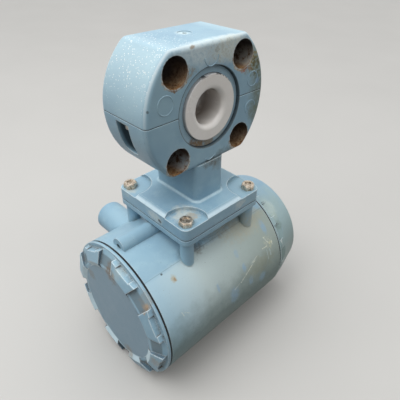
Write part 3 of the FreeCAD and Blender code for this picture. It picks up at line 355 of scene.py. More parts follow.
def bolt_bore_rust_and_painted_light(f, colour, roughness, level):
    """Rust in the two bolt holes of one half of the head, painted shade deep down and painted
    light on the lower wall near the mouth, flaky at the mouth.
    """
    upper = level > 0
    side = f.axis("Y")
    away = f.sum("SUBTRACT", f.sum("ABSOLUTE", side), bolt_place)
    across = f.times(away, f.sum("SIGN", side))
    rise = f.sum("SUBTRACT", f.axis("Z"), level)
    radial = f.sum("SQRT", f.sum("ADD", f.times(away, away), f.times(rise, rise)))
    depth = f.sum("SUBTRACT", face, f.sum("ABSOLUTE", f.axis("X")))
    coarse = f.grain(180.0, 5.0, 0.75, shift=4.4)
    low_wall = f.fade(rise, 4 * MM, -7 * MM)
    mouth = f.fade(f.sum("MULTIPLY_ADD", coarse, 14 * MM, depth), 26 * MM, 10 * MM)
    rusty = f.times(low_wall, mouth)
    # painted shade deep in the hole, turning to lighter brown painted light near the mouth and
    # low on the wall
    lit = f.times(f.fade(depth, 30 * MM, 3 * MM, 0.0, 0.8), f.fade(rise, 6 * MM, -5 * MM))
    wall = f.paint_over(HOLE_SHADE, srgb(84, 60, 40), lit)
    rust = f.paint_over(RUST, TAN_FLAKE, f.fade(f.fine, 0.44, 0.60))
    rust = f.paint_over(rust, srgb(86, 58, 36), f.fade(coarse, 0.52, 0.66))
    wall = f.paint_over(wall, rust, rusty)
    # painted light on the outer wall, most of it in the lower hole at -Y and the upper one at +Y
    below = (5 * MM, -2 * MM) if upper else (3 * MM, -3 * MM)
    outer_wall_light = f.times(f.fade(across, 2 * MM, 8 * MM), f.fade(depth, 24 * MM, 6 * MM),
                   f.fade(coarse, 0.62, 0.48), f.fade(rise, *below),
                   f.fade(f.times(side, level), -0.0003, 0.0003, 0.15, 1.0))
    outer_wall_light_colour = srgb(168, 174, 172) if upper else srgb(172, 190, 200)
    wall = f.paint_over(wall, outer_wall_light_colour, f.times(outer_wall_light, 0.75))
    inside = f.fade(radial, bolt_hole + 0.5 * MM, bolt_hole + 0.2 * MM)
    colour = f.paint_over(colour, wall, inside)
    # flakes round the mouth, more of them below it
    ragged = f.sum("MULTIPLY_ADD", f.fine, 5 * MM, -1.9 * MM)
    reach = f.sum("SUBTRACT", f.sum("ADD", radial, ragged),
                  f.fade(rise, 6 * MM, -9 * MM, 0.0, 1.7 * MM))
    rim = f.times(f.fade(reach, bolt_hole + 0.9 * MM, bolt_hole + 0.3 * MM), f.without(inside))
    flake = f.paint_over(srgb(128, 96, 62), srgb(206, 200, 182), f.fade(coarse, 0.45, 0.58))
    colour = f.paint_over(colour, flake, f.times(rim, 0.9))
    edge_line = f.times(f.fade(f.off(radial, bolt_hole + 0.5 * MM), 0.5 * MM, 0.2 * MM),
                        f.fade(f.fine, 0.42, 0.56))
    colour = f.paint_over(colour, PALE_EDGE_AND_HIGHLIGHT, f.times(edge_line, 0.55))
    return colour, f.sum("MULTIPLY_ADD", inside, 0.35, roughness)


def ceramic(name):
    """Glazed warm grey ceramic with a stained seat, small edge chips and painted shade deep in
    the bore.
    """
    f = Finish(name)
    cloud = f.grain(60.0, 4.0, 0.6)
    colour = f.paint_over(srgb(243, 239, 233), srgb(249, 246, 242), f.fade(cloud, 0.35, 0.65))
    radial = from_bore(f)
    # painted shade deep in the bore
    deep = f.fade(f.sum("ABSOLUTE", f.axis("X")), 20 * MM, 6 * MM)
    within = f.fade(radial, 15 * MM, 13 * MM)
    colour = f.paint_over(colour, srgb(128, 116, 106), f.times(deep, within))
    rim = f.fade(radial, 23.5 * MM, 24.0 * MM)
    colour = f.paint_over(colour, srgb(158, 160, 162), f.times(rim, 0.8))
    top = f.fade(f.sum("ADD", f.axis("Z"), f.times(f.axis("Y"), 0.25)), 18 * MM, 22 * MM)
    chips = f.fade(f.grain(170.0, 3.0, 0.6, stretch=(1.0, 0.6, 1.6), shift=2.5), 0.50, 0.54)
    near_rim = f.fade(radial, 23.2 * MM, 23.6 * MM)
    colour = f.paint_over(colour, srgb(62, 60, 58), f.times(chips, top, near_rim))
    stain = f.times(f.fade(f.axis("Z"), -19 * MM, -23 * MM), f.fade(radial, 22.9 * MM, 23.9 * MM))
    colour = f.paint_over(colour, EARTH, f.times(stain, 0.7))
    f.bump(f.grain(300.0, 2.0, 0.5), 0.04, 0.3 * MM)
    return f.done(colour, f.fade(cloud, 0.3, 0.7, 0.18, 0.30), Coat_Weight=1.0,
                  Coat_Roughness=0.05)


def metal(name, light, dark, stain, roughness=(0.25, 0.5), amount=0.6, scale=300.0,
          metallic=0.85):
    """Bare or plated metal with fine machining, stained patches, and stain with painted shade in
    the corners.
    """
    f = Finish(name)
    f.rounded(0.25 * MM)
    cloud = f.grain(scale, 5.0, 0.65)
    colour = f.paint_over(dark, light, f.fade(cloud, 0.35, 0.62))
    patches = f.fade(f.grain(scale * 0.8, 5.0, 0.7, shift=4.0), 0.5, 0.64)
    colour = f.paint_over(colour, stain, f.times(patches, amount))
    # stain and painted shade in the corners
    dirt_and_shade_in_corners = f.fade(f.corners(2 * MM), 0.4, 0.9)
    colour = f.paint_over(colour, stain, f.times(dirt_and_shade_in_corners, 0.6))
    colour = f.paint_over(colour, light, f.times(f.edges(0.86, 0.99), 0.5))
    f.bump(f.grain(scale * 6, 2.0, 0.6), 0.12, 0.2 * MM)
    return f.done(colour, f.fade(cloud, 0.3, 0.7, *roughness), metallic)


def moulded(name, light, dark, roughness=0.55, dust=0.25, scale=400.0):
    """Rubber or moulded plastic with a fine matt grain and a little dust."""
    f = Finish(name)
    cloud = f.grain(scale, 4.0, 0.6)
    colour = f.paint_over(dark, light, f.fade(cloud, 0.35, 0.65))
    dusty = f.fade(f.grain(90.0, 5.0, 0.7, shift=7.0), 0.5, 0.8, 0.0, dust)
    colour = f.paint_over(colour, DUST, dusty)
    f.bump(f.grain(scale * 4, 2.0, 0.5), 0.10, 0.2 * MM)
    return f.done(colour, f.fade(cloud, 0.3, 0.7, roughness - 0.1, roughness + 0.1))


def board(name):
    """Green circuit board with fine tracks under the lacquer."""
    f = Finish(name)
    made = f.tree.nodes.new("ShaderNodeTexWave")
    made.bands_direction = "X"
    made.inputs["Scale"].default_value = 160.0
    made.inputs["Distortion"].default_value = 6.0
    made.inputs["Detail"].default_value = 0.0
    f.join(f.place, made.inputs["Vector"])
    tracks = f.fade(made.outputs["Fac"], 0.55, 0.62)
    colour = f.paint_over(srgb(24, 84, 52), srgb(58, 128, 78), tracks)
    f.bump(tracks, 0.2, 0.05 * MM)
    return f.done(colour, 0.35)


def winding(name):
    """Enamelled copper wire in fine even turns."""
    f = Finish(name)
    made = f.tree.nodes.new("ShaderNodeTexWave")
    made.bands_direction = "Z"
    made.inputs["Scale"].default_value = 500.0
    f.join(f.place, made.inputs["Vector"])
    turns = made.outputs["Fac"]
    colour = f.paint_over(srgb(96, 48, 24), srgb(196, 110, 60), turns)
    f.bump(turns, 0.6, 0.3 * MM)
    return f.done(colour, 0.35, 0.7)


MOSS = srgb(128, 126, 84)
MOSS_DARK = srgb(88, 84, 52)
CLEAN_BLUE = srgb(148, 184, 212)
CHALK = srgb(232, 236, 222)
head_stains = [
    # centre, radius, squeeze, colour, strength, ragged edge
    # the first two: pale dust along the face's top, with a painted highlight from its rounded
    # edge
    ((face, 0.0, 0.042), 0.012, (1.9, 0.34, 1), srgb(222, 238, 242), 0.85, 0.3),
    ((face, 0.018, 0.038), 0.010, (1.9, 0.6, 1), srgb(230, 236, 226), 0.7, 0.4),
    ((face, -0.001, 0.0365), 0.0060, (1, 0.8, 1), srgb(108, 124, 126), 0.25, 1.7),
    ((face, 0.012, 0.037), 0.0070, (1, 0.6, 1), srgb(108, 120, 116), 0.30, 1.7),
    ((face, -0.0175, 0.031), 0.0034, (1, 0.8, 1), srgb(150, 132, 106), 0.6, 1.7),
    ((face, -0.021, 0.026), 0.0024, (1, 1, 0.7), srgb(158, 140, 112), 0.6, 1.3),
    ((face, 0.0445, 0.0225), 0.0088, (0.5, 1, 0.85), srgb(146, 150, 116), 0.55, 0.9),
    ((face, 0.0440, 0.0245), 0.0082, (0.5, 1, 0.85), MOSS, 0.9, 1.3),
    ((face, 0.0425, 0.0265), 0.0050, (0.5, 1, 1), srgb(158, 142, 92), 0.9, 1.5),
    ((face, 0.0385, 0.0200), 0.0034, (1, 0.8, 1), srgb(150, 116, 82), 0.9, 1.6),
    ((face, 0.0470, 0.0225), 0.0044, (1, 0.8, 1), MOSS_DARK, 0.9, 1.7),
    ((face, 0.0480, 0.0155), 0.0040, (1, 0.9, 1), MOSS_DARK, 0.7, 1.6),
    ((face, 0.0585, 0.0020), 0.0170, (0.4, 1, 0.60), srgb(112, 122, 104), 0.8, 0.25),
    ((face, 0.0325, 0.0215), 0.0030, (1, 0.6, 1), srgb(184, 108, 74), 0.85, 1.0),
    ((face, 0.0495, 0.0085), 0.0026, (1, 1, 1), srgb(140, 172, 200), 0.85, 0.6),
    ((face, -0.0162, 0.0446), 0.0016, (1, 0.7, 1), srgb(150, 128, 100), 0.8, 0.9),
    ((face, -0.0542, 0.0124), 0.0011, (1, 1, 1), srgb(72, 74, 74), 0.8, 0.8),
    ((-0.0026, -0.0008, head_high.z), 0.0054, (1, 1, 1), srgb(214, 234, 236), 0.8, 0.25),
]
lower_head_stains = [
    ((face, 0.0585, -0.0020), 0.0170, (0.4, 1, 0.60), srgb(112, 122, 104), 0.8, 0.25),
    ((face, 0.0470, -0.0160), 0.0070, (0.4, 1, 0.7), GRIME, 0.6, 0.6),
    ((face, -0.0252, -0.0089), 0.0075, (1, 1, 1), srgb(140, 170, 186), 0.35, 0.8),
    ((face, 0.0150, -0.0425), 0.0060, (0.5, 0.35, 1), srgb(96, 96, 88), 0.5, 0.9),
    ((0.0268, -0.0287, plateau), 0.0105, (1, 1, 0.6), srgb(206, 214, 210), 0.85, 0.7),
    ((0.0300, -0.0250, plateau), 0.0042, (1, 1, 1), srgb(170, 154, 130), 0.55, 1.2),
    ((-0.0300, -0.0380, plateau), 0.0050, (1, 1, 0.6), srgb(206, 214, 210), 0.7, 0.9),
    ((0.0070, -0.0428, plateau - 5 * MM), 0.0048, (0.45, 1, 1), srgb(206, 218, 218), 0.8, 0.8),
    ((0.0125, -0.0428, plateau - 6 * MM), 0.0016, (0.7, 1, 1), srgb(70, 72, 72), 0.9, 0.7),
    ((0.0428, 0.0170, plateau - 4 * MM), 0.0036, (1, 0.5, 1), srgb(206, 218, 218), 0.7, 0.9),
    ((0.0250, 0.0100, -0.0480), 0.0050, (1, 0.6, 1), srgb(118, 112, 98), 0.3, 1.2),
    ((0.0240, -0.0020, -0.0435), 0.0034, (1, 0.35, 1), srgb(100, 90, 76), 0.5, 1.2),
]
housing_stains = [
    ((0.0405, -0.0538, -0.1181), 0.0034, (1, 1.2, 0.7), srgb(184, 172, 140), 0.7, 0.9),
    ((0.0412, -0.0530, -0.1188), 0.0014, (1, 1, 0.7), srgb(160, 124, 80), 0.8, 0.9),
    ((0.0330, -0.0219, -0.1126), 0.0052, (1, 0.7, 1), srgb(96, 90, 80), 0.6, 1.0),
    ((0.0342, -0.0605, -0.1133), 0.0010, (1, 1, 1), srgb(60, 66, 68), 0.9, 0.6),
    ((0.0568, 0.0115, -0.1402), 0.0036, (1, 1.5, 0.7), CLEAN_BLUE, 0.65, 0.5),
    ((0.0492, 0.0085, -0.1272), 0.0036, (1, 1.3, 0.8), CLEAN_BLUE, 0.4, 0.6),
    ((0.0614, 0.0171, -0.1563), 0.0045, (1, 1.5, 0.8), CLEAN_BLUE, 0.6, 0.6),
    ((0.0620, 0.0331, -0.1629), 0.0052, (1, 1.1, 0.9), CLEAN_BLUE, 0.5, 0.6),
    ((0.0616, -0.0046, -0.1584), 0.0075, (1, 1.2, 0.8), CLEAN_BLUE, 0.55, 0.6),
    ((0.0573, -0.0209, -0.1414), 0.0032, (1, 2.0, 0.6), CLEAN_BLUE, 0.55, 0.5),
    ((0.0445, 0.0487, -0.1230), 0.0075, (1, 2.3, 0.8), CLEAN_BLUE, 0.65, 0.35),
    ((0.0551, 0.0490, -0.1365), 0.0030, (1, 1.3, 0.6), srgb(222, 218, 176), 0.75, 1.7),
    ((0.0540, 0.0470, -0.1345), 0.0052, (1, 1, 0.8), srgb(206, 210, 190), 0.45, 1.8),
    ((0.0600, 0.0300, -0.1480), 0.0100, (1, 0.5, 1), srgb(150, 152, 128), 0.45, 0.9),
    ((0.0350, 0.0300, -0.1138), 0.0140, (1, 0.5, 1), srgb(184, 182, 162), 0.6, 0.7),
    ((0.0300, 0.0050, -0.1107), 0.0070, (1, 0.35, 1), srgb(140, 136, 120), 0.5, 0.9),
]
housing_scratches = [
    # start, end, width, colour, strength
    ((0.0570, 0.0256, -0.1407), (0.0603, 0.0043, -0.1507), 0.5 * MM, CHALK, 0.8),
    ((0.0560, 0.0300, -0.1384), (0.0572, 0.0210, -0.1412), 0.4 * MM, CHALK, 0.6),
    ((0.0603, 0.0020, -0.1507), (0.0608, -0.0040, -0.1530), 0.5 * MM, CHALK, 0.6),
    ((0.0506, 0.0435, -0.1292), (0.0540, 0.0465, -0.1345), 0.6 * MM, CHALK, 0.8),
    ((0.0551, 0.0381, -0.1365), (0.0553, 0.0440, -0.1368), 0.5 * MM, srgb(234, 234, 214), 0.85),
    ((0.0566, 0.0425, -0.1395), (0.0599, 0.0429, -0.1488), 0.6 * MM, srgb(188, 206, 208), 0.8),
    ((0.0570, 0.0465, -0.1405), (0.0592, 0.0468, -0.1465), 0.6 * MM, srgb(188, 206, 208), 0.8),
    ((0.0530, 0.0520, -0.1328), (0.0560, 0.0512, -0.1383), 0.5 * MM, CHALK, 0.8),
    ((0.0567, -0.0574, -0.1399), (0.0577, -0.0540, -0.1423), 0.4 * MM, CHALK, 0.6),
    ((0.0560, -0.0600, -0.1384), (0.0575, -0.0590, -0.1418), 0.4 * MM, CHALK, 0.5),
]


def housing_film(f, colour, roughness):
    """Pale dust on the outer flank, bluer in front and greener behind, with painted shade
    underneath.
    """
    reach = f.sum("ADD", f.axis("X"), f.sum("MULTIPLY_ADD", f.blotch, 5 * MM, -2.5 * MM))
    shell = f.fade(from_barrel(f), 63.4 * MM, 62.4 * MM)
    dusty = f.times(f.fade(reach, 0.0315, 0.0352), shell)
    pale, greenish, bluish = srgb(212, 226, 224), srgb(168, 176, 162), srgb(176, 206, 220)
    dust = f.paint_over(pale, greenish, f.fade(f.axis("Y"), -0.050, 0.045))
    dust = f.paint_over(bluish, dust, f.fade(f.axis("Y"), -0.070, -0.030))
    colour = f.paint_over(colour, dust, f.times(dusty, 0.78))
    # painted shade, darker towards the bottom of the outer flank
    under = f.times(f.fade(f.sum("MULTIPLY_ADD", f.blotch, 0.03, f.axis("Z")), -0.122, -0.154),
                    f.fade(f.axis("X"), 0.0, 0.03))
    colour = f.paint_over(colour, srgb(96, 118, 116), f.times(under, 0.80))
    return colour, f.sum("MULTIPLY_ADD", dusty, 0.08, roughness)


def upper_shell_film(f, colour, roughness):
    """Chalked paint with a painted sheen on the upper flanks, and a painted highlight on the rim
    round the face.
    """
    # chalked paint and painted sheen, paler higher up on the flanks
    high = f.fade(f.axis("Z"), -0.012, 0.036)
    side = f.fade(f.sum("ABSOLUTE", f.axis("Y")), 0.020, 0.040)
    chalk_and_sheen = f.times(high, side, f.fade(f.axis("X"), face - 0.5 * MM, face - 4 * MM))
    colour = f.paint_over(colour, srgb(200, 226, 234), f.times(chalk_and_sheen, 0.62))
    return rim_highlight(f, colour, 0.75), roughness


def rim_highlight(f, colour, strength):
    """A painted highlight: a paler line on the rounded edge of the head's faces, brighter higher
    up.
    """
    edge = f.off(f.sum("ABSOLUTE", f.axis("X")), face - 1.5 * MM)
    radial, height = from_bore(f), f.axis("Z")
    line = f.times(f.fade(edge, 1.1 * MM, 0.4 * MM), f.fade(radial, 0.044, 0.047),
                   f.fade(radial, head_high.y + 0.6 * MM, head_high.y),
                   f.fade(height, -0.046, -0.043), f.fade(height, 0.0, 0.034, 0.45, 1.0))
    return f.paint_over(colour, PALE_EDGE_AND_HIGHLIGHT, f.times(line, strength))


def lower_body_film(f, colour, roughness):
    """Painted highlights on the flange's bevels and round the foot of the neck, and painted shade
    in the clamp slots.
    """
    colour = rim_highlight(f, colour, 0.3)
    height = f.axis("Z")
    slope = f.node("SeparateXYZ", 2, f.facing())
    # painted highlight on the tilted bevels round the flange top
    tilted = f.times(f.fade(slope, 0.45, 0.60), f.fade(slope, 0.95, 0.90))
    at_rim = f.times(f.fade(height, plateau - 3.2 * MM, plateau - 2.8 * MM),
                     f.fade(height, plateau + 2.6 * MM, plateau + 1.6 * MM))
    bevel_highlight = f.times(tilted, at_rim, f.fade(f.fine, 0.2, 0.45, 0.6, 1.0))
    colour = f.paint_over(colour, srgb(214, 236, 246), f.times(bevel_highlight, 0.85))
    # painted highlight along the fillet at the foot of the neck
    near_neck = f.fade(f.sum("ABSOLUTE", f.axis("X")), face + 6 * MM, face + 4 * MM)
    neck_root_highlight = f.times(f.fade(f.off(height, plateau + 4.2 * MM), 1.1 * MM, 0.4 * MM), near_neck,
                   f.fade(f.fine, 0.25, 0.5, 0.4, 1.0), f.fade(slope, 0.96, 0.90))
    colour = f.paint_over(colour, srgb(206, 232, 242), f.times(neck_root_highlight, 0.8))
    # painted shade inside the clamp slots
    inner = f.fade(from_bore(f), ring_edge + 26.5 * MM, ring_edge + 24 * MM)
    within = f.fade(f.off(f.axis("X"), -1.2 * MM), 8.2 * MM, 7.2 * MM)
    outside = f.fade(f.sum("ABSOLUTE", f.axis("Y")), 0.040, 0.041)
    slot_shade = f.times(inner, within, outside, f.fade(height, -2.2 * MM, -2.6 * MM))
    return f.paint_over(colour, srgb(40, 52, 62), f.times(slot_shade, 0.8)), roughness


def housing_seam(f):
    """The faint casting seam along the flank."""
    line = f.fade(f.off(f.axis("X"), 33.3 * MM), 0.32 * MM, 0.12 * MM, 0.0, 0.28)
    return f.times(line, f.fade(f.axis("Z"), -0.125, -0.120))


def rear_film(f, colour, roughness):
    """Greenish dust on the rear cover's outer flank, darker underneath."""
    reach = f.sum("ADD", f.axis("X"), f.sum("MULTIPLY_ADD", f.blotch, 0.05, -0.025))
    dusty = f.fade(reach, 0.006, 0.034)
    colour = f.paint_over(colour, srgb(166, 186, 180), f.times(dusty, 0.6))
    under = f.times(dusty, f.fade(f.axis("Z"), -0.128, -0.158))
    colour = f.paint_over(colour, srgb(112, 132, 124), f.times(under, 0.6))
    return colour, roughness


def front_cover_film(f, colour, roughness):
    """Painted shade in the sunk disc, on the notch walls and on the notch floors, and bevels on
    the lugs made paler by abrasion and a painted highlight.
    """
    radial = from_barrel(f)
    # painted shade in the sunk disc
    disc = f.fade(radial, 45.5 * MM, 43.5 * MM)
    colour = f.paint_over(colour, srgb(130, 158, 176), f.times(disc, 0.8))
    # painted shade on the notch walls, which face sideways or inward
    frontal = f.sum("ABSOLUTE", f.node("SeparateXYZ", 1, f.facing()))
    outward = f.node("VectorMath", 0, f.place, (0, 0, barrel.z), operation="SUBTRACT")
    outward = f.node("VectorMath", 0, outward, (1, 0, 1), operation="MULTIPLY")
    outward = f.node("VectorMath", 0, outward, operation="NORMALIZE")
    outward = f.node("VectorMath", 1, outward, f.facing(), operation="DOT_PRODUCT")
    wall = f.times(f.fade(frontal, 0.25, 0.12), f.fade(outward, 0.6, 0.3))
    colour = f.paint_over(colour, srgb(72, 100, 118), f.times(wall, 0.8))
    # painted shade on the notch floors
    depth = f.sum("SUBTRACT", f.axis("Y"), front)
    notch = f.times(f.fade(depth, 2.3 * MM, 2.7 * MM), f.fade(frontal, 0.3, 0.5),
                    f.fade(radial, 46.2 * MM, 47.2 * MM), f.fade(radial, 57.0 * MM, 56.0 * MM))
    colour = f.paint_over(colour, srgb(112, 128, 136), f.times(notch, 0.75))
    # bevels made paler by abrasion and a painted highlight
    bevel = f.times(f.fade(frontal, 0.25, 0.40), f.fade(frontal, 0.95, 0.93),
                    f.fade(depth, 2.2 * MM, 1.8 * MM), f.fade(f.blotch, 0.25, 0.50, 0.6, 1.0))
    colour = f.paint_over(colour, srgb(216, 238, 246), f.times(bevel, 0.8))
    return colour, roughness


def front_seal_line(f):
    """The black of the seal, pressed out on to the cover's edge."""
    beside = f.fade(f.axis("Y"), seal_start - 1.1 * MM, seal_start - 0.8 * MM)
    return f.times(beside, f.fade(from_barrel(f), 58.5 * MM, 59.0 * MM))


def front_cover_rim(f):
    """The plain rim behind the lugs, where little wears and no edge highlight is painted."""
    return f.fade(f.axis("Y"), front + 7.5 * MM, front + 8.5 * MM)


def neck_sides(f):
    """The part of the lower body that nothing rubs, between the flange and the head, where no
    edge highlight is painted.
    """
    return f.times(f.fade(f.axis("Z"), plateau + 3 * MM, plateau + 5 * MM),
                   f.fade(f.axis("Z"), -0.046, -0.048))


cover_stains = [
    # centre, radius, squeeze, colour, strength, ragged edge
    ((0.0020, front + 4 * MM, -0.1185), 0.0080, (1, 0.5, 0.8), srgb(124, 102, 76), 0.8, 0.9),
    ((0.0405, front + 4 * MM, -0.1200), 0.0070, (1, 0.5, 0.8), srgb(150, 144, 130), 0.5, 0.9),
    ((0.0420, front + 4 * MM, -0.1270), 0.0030, (1, 0.5, 0.8), srgb(190, 164, 134), 0.8, 0.8),
    ((0.0520, front + 4 * MM, -0.1800), 0.0050, (1, 0.5, 0.8), srgb(170, 146, 120), 0.45, 1.1),
    ((0.0400, front + 4 * MM, -0.2000), 0.0060, (1, 0.5, 1), srgb(150, 136, 116), 0.6, 1.0),
    ((0.0120, front + 6 * MM, -0.1120), 0.0060, (1, 0.5, 1), srgb(206, 206, 190), 0.25, 1.1),
    ((-0.0330, front + 5 * MM, -0.1450), 0.0060, (1, 0.6, 1), srgb(120, 112, 98), 0.5, 0.8),
    ((0.0120, front + 5 * MM, -0.2080), 0.0080, (1, 0.6, 1), srgb(140, 124, 102), 0.6, 0.8),
]
rear_stains = [
    ((0.0365, 0.0705, -0.1165), 0.0085, (0.8, 1.0, 0.8), srgb(198, 214, 208), 0.6, 0.35),
    ((0.0430, 0.0700, -0.1225), 0.0050, (1, 1, 1), srgb(172, 190, 180), 0.5, 0.6),
    ((0.0490, 0.0700, -0.1300), 0.0060, (1, 1, 1), srgb(120, 140, 128), 0.5, 0.8),
]
rear_scratches = [
    ((0.0299, 0.0640, -0.1118), (0.0298, 0.0682, -0.1118), 0.8 * MM, srgb(44, 54, 54), 0.9),
    ((0.0486, 0.0626, -0.1281), (0.0481, 0.0678, -0.1275), 0.8 * MM, srgb(44, 54, 54), 0.9),
    ((0.0421, 0.0631, -0.1209), (0.0433, 0.0693, -0.1221), 0.5 * MM, srgb(206, 222, 222), 0.8),
    ((0.0449, 0.0754, -0.1237), (0.0557, 0.0719, -0.1400), 1.3 * MM, srgb(160, 198, 224), 0.75),
    ((0.0564, 0.0650, -0.1418), (0.0570, 0.0655, -0.1430), 1.0 * MM, srgb(240, 244, 238), 0.9),
    ((0.0610, 0.0659, -0.1669), (0.0609, 0.0714, -0.1681), 0.8 * MM, srgb(226, 234, 230), 0.8),
    ((0.0600, 0.0640, -0.1560), (0.0610, 0.0700, -0.1600), 0.8 * MM, srgb(236, 240, 236), 0.8),
    ((0.0575, 0.0640, -0.1420), (0.0600, 0.0690, -0.1500), 0.7 * MM, srgb(230, 236, 232), 0.7),
    ((0.0460, 0.0800, -0.1240), (0.0480, 0.0880, -0.1290), 0.7 * MM, srgb(206, 222, 224), 0.6),
]


def ring_seam(f):
    """Dirt in the thin gap round the end ring."""
    return f.fade(from_bore(f), ring_edge - 0.6 * MM, ring_edge - 0.25 * MM, 0.0, 0.95)


def head_ring_seam(f):
    """The same gap's dirt on the head's side of it."""
    outer = f.fade(from_bore(f), ring_edge + 0.85 * MM, ring_edge + 0.45 * MM, 0.0, 0.8)
    return f.times(outer, f.fade(f.axis("X"), face - 30 * MM, face - 5 * MM))


def ring_painted_light(f, colour, roughness):
    """The end rings' paint made paler, painted light against the shade of their recess."""
    return f.paint_over(colour, srgb(186, 214, 228), 0.45), roughness


ring_stains = [
    ((face, -0.0100, -0.0262), 0.0058, (0.5, 0.8, 1), srgb(140, 112, 76), 0.95, 0.6),
    ((face, 0.0000, -0.0275), 0.0048, (0.5, 0.7, 1), srgb(160, 140, 108), 0.8, 0.8),
    ((face, -0.0160, -0.0215), 0.0036, (0.5, 1, 1), srgb(120, 92, 60), 0.85, 0.8),
    ((face, 0.0120, -0.0250), 0.0040, (0.5, 0.7, 1), srgb(196, 204, 198), 0.6, 0.9),
]
finishes = {
    "upper_shell": casting("paint_upper_shell", head_stains, bolt_level=bolt_place,
                           joint=joint_height, specks=1.0, seam=head_ring_seam, grime_and_shade=0.35,
                           film=upper_shell_film),
    "lower_body": casting("paint_lower_body", lower_head_stains, bolt_level=-bolt_place,
                          joint=joint_height, specks=0.6, edge_wear_and_highlight=1.0, seam=head_ring_seam,
                          round_off=1.2, film=lower_body_film, spared=neck_sides),
    "housing": casting("paint_housing", housing_stains, housing_scratches, film=housing_film,
                       seam=housing_seam),
    "front_cover": casting("paint_front_cover", cover_stains, grime_and_shade=1.0, edge_wear_and_highlight=1.0,
                           film=front_cover_film, corner_dirt_and_shade=srgb(92, 78, 60), round_off=1.5,
                           seam=front_seal_line, seam_shade=srgb(14, 16, 18),
                           spared=front_cover_rim),
    "rear_cover": casting("paint_rear_cover", rear_stains, rear_scratches, film=rear_film,
                          grime_and_shade=0.9, edge_wear_and_highlight=0.9, round_off=1.1),
    "ceramic_liner": ceramic("glazed_ceramic"),
}
ring_paint = casting("paint_ring", ring_stains, seam=ring_seam, grime_and_shade=0.1, edge_wear_and_highlight=0.9,
                     film=ring_painted_light)
plain_paint = casting("plain_paint", edge_wear_and_highlight=1.0)
finishes["end_ring_inlet"] = finishes["end_ring_outlet"] = ring_paint
finishes["cover_lock_screw"] = metal("blackened_steel", srgb(52, 52, 52), srgb(30, 30, 30),
                                     srgb(44, 36, 28), roughness=(0.4, 0.6), amount=0.4,
                                     scale=600.0, metallic=0.6)
steel = metal("bright_steel", srgb(190, 190, 186), srgb(130, 130, 128), srgb(96, 84, 70))
zinc = metal("yellow_zinc", srgb(232, 222, 206), srgb(172, 152, 128), srgb(88, 66, 46),
             roughness=(0.22, 0.42), amount=0.75, scale=520.0, metallic=0.75)
iron = metal("mild_iron", srgb(120, 120, 122), srgb(84, 84, 86), srgb(84, 60, 46))
rubber = moulded("black_rubber", srgb(24, 24, 26), srgb(12, 12, 14), 0.6, 0.04)
gasket = moulded("painted_gasket", srgb(124, 152, 168), srgb(96, 122, 138), 0.6, 0.2)
plastic = moulded("black_plastic", srgb(52, 52, 56), srgb(36, 36, 40), 0.45, 0.15)
by_slot = {"steel": steel, "zinc": zinc, "iron": iron, "rubber": rubber, "gasket": gasket,
           "black_plastic": plastic, "board": board("circuit_board"),
           "copper": winding("copper_winding"), "paint": plain_paint}
slot_of = {part["node"]: part["material_slot"] for part in frame["record"]["subparts"]}
for name, piece in nodes.items():
    material = finishes.get(name) or by_slot[slot_of[name]]
    piece.data.materials.clear()
    piece.data.materials.append(material)


# ---- pieces modelled here ------------------------------------------------------------------

def new_piece(name, mesh, material, body="meter_body", smooth=True):
    """A finished piece from a bmesh, riding on its body."""
    bmesh.ops.recalc_face_normals(mesh, faces=mesh.faces)
    data = bpy.data.meshes.new(name)
    mesh.to_mesh(data)
    mesh.free()
    for polygon in data.polygons:
        polygon.use_smooth = smooth
    data.materials.append(material)
    piece = bpy.data.objects.new(name, data)
    bpy.context.scene.collection.objects.link(piece)
    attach(piece, body)
    return piece


PIN_BAR_RADIUS = 0.42 * MM
PIN_BAR_SINK = 0.10 * MM
PIN_BAR_SIDES = 8
DEGREES_PER_STEP = 9
TOUCHING = 1e-6


def pin_mark(name, y, z, radius, start=0.0, sweep=360.0):
    """The low raised ring that an ejector pin leaves on a casting's face, or part of it."""
    mesh = bmesh.new()
    made = bmesh.ops.create_circle(mesh, segments=PIN_BAR_SIDES,
                                    radius=PIN_BAR_RADIUS)
    bmesh.ops.rotate(mesh, verts=made["verts"], matrix=Matrix.Rotation(math.radians(90), 3, "X"))
    loop = list(mesh.edges)
    bmesh.ops.translate(mesh, verts=mesh.verts, vec=(face - PIN_BAR_SINK, y, z + radius))
    bmesh.ops.rotate(mesh, verts=mesh.verts, cent=(face, y, z),
                     matrix=Matrix.Rotation(math.radians(start), 3, "X"))
    full = sweep >= 360
    bmesh.ops.spin(mesh, geom=loop + list(mesh.verts), cent=(face, y, z), axis=(1, 0, 0),
                   angle=math.radians(sweep), steps=int(sweep / DEGREES_PER_STEP),
                   use_merge=full)
    bmesh.ops.remove_doubles(mesh, verts=mesh.verts, dist=TOUCHING)
    if not full:
        bmesh.ops.holes_fill(mesh, edges=[e for e in mesh.edges if e.is_boundary],
                             sides=PIN_BAR_SIDES)
    return new_piece(name, mesh, plain_paint)


pin_mark("pin_mark_left", -0.0403, 0.0127, 6.4 * MM)
pin_mark("pin_mark_top", 0.0, 0.0359, 6.3 * MM, start=90, sweep=180)
pin_mark("pin_mark_upper_right", 0.0436, 0.0112, 5.5 * MM)
pin_mark("pin_mark_right", 0.0430, -0.0111, 5.5 * MM, start=-90, sweep=225)
pin_mark("pin_mark_bottom", -0.0005, -0.0352, 5.5 * MM, start=120, sweep=120)

# ---- floor, light and camera ---------------------------------------------------------------

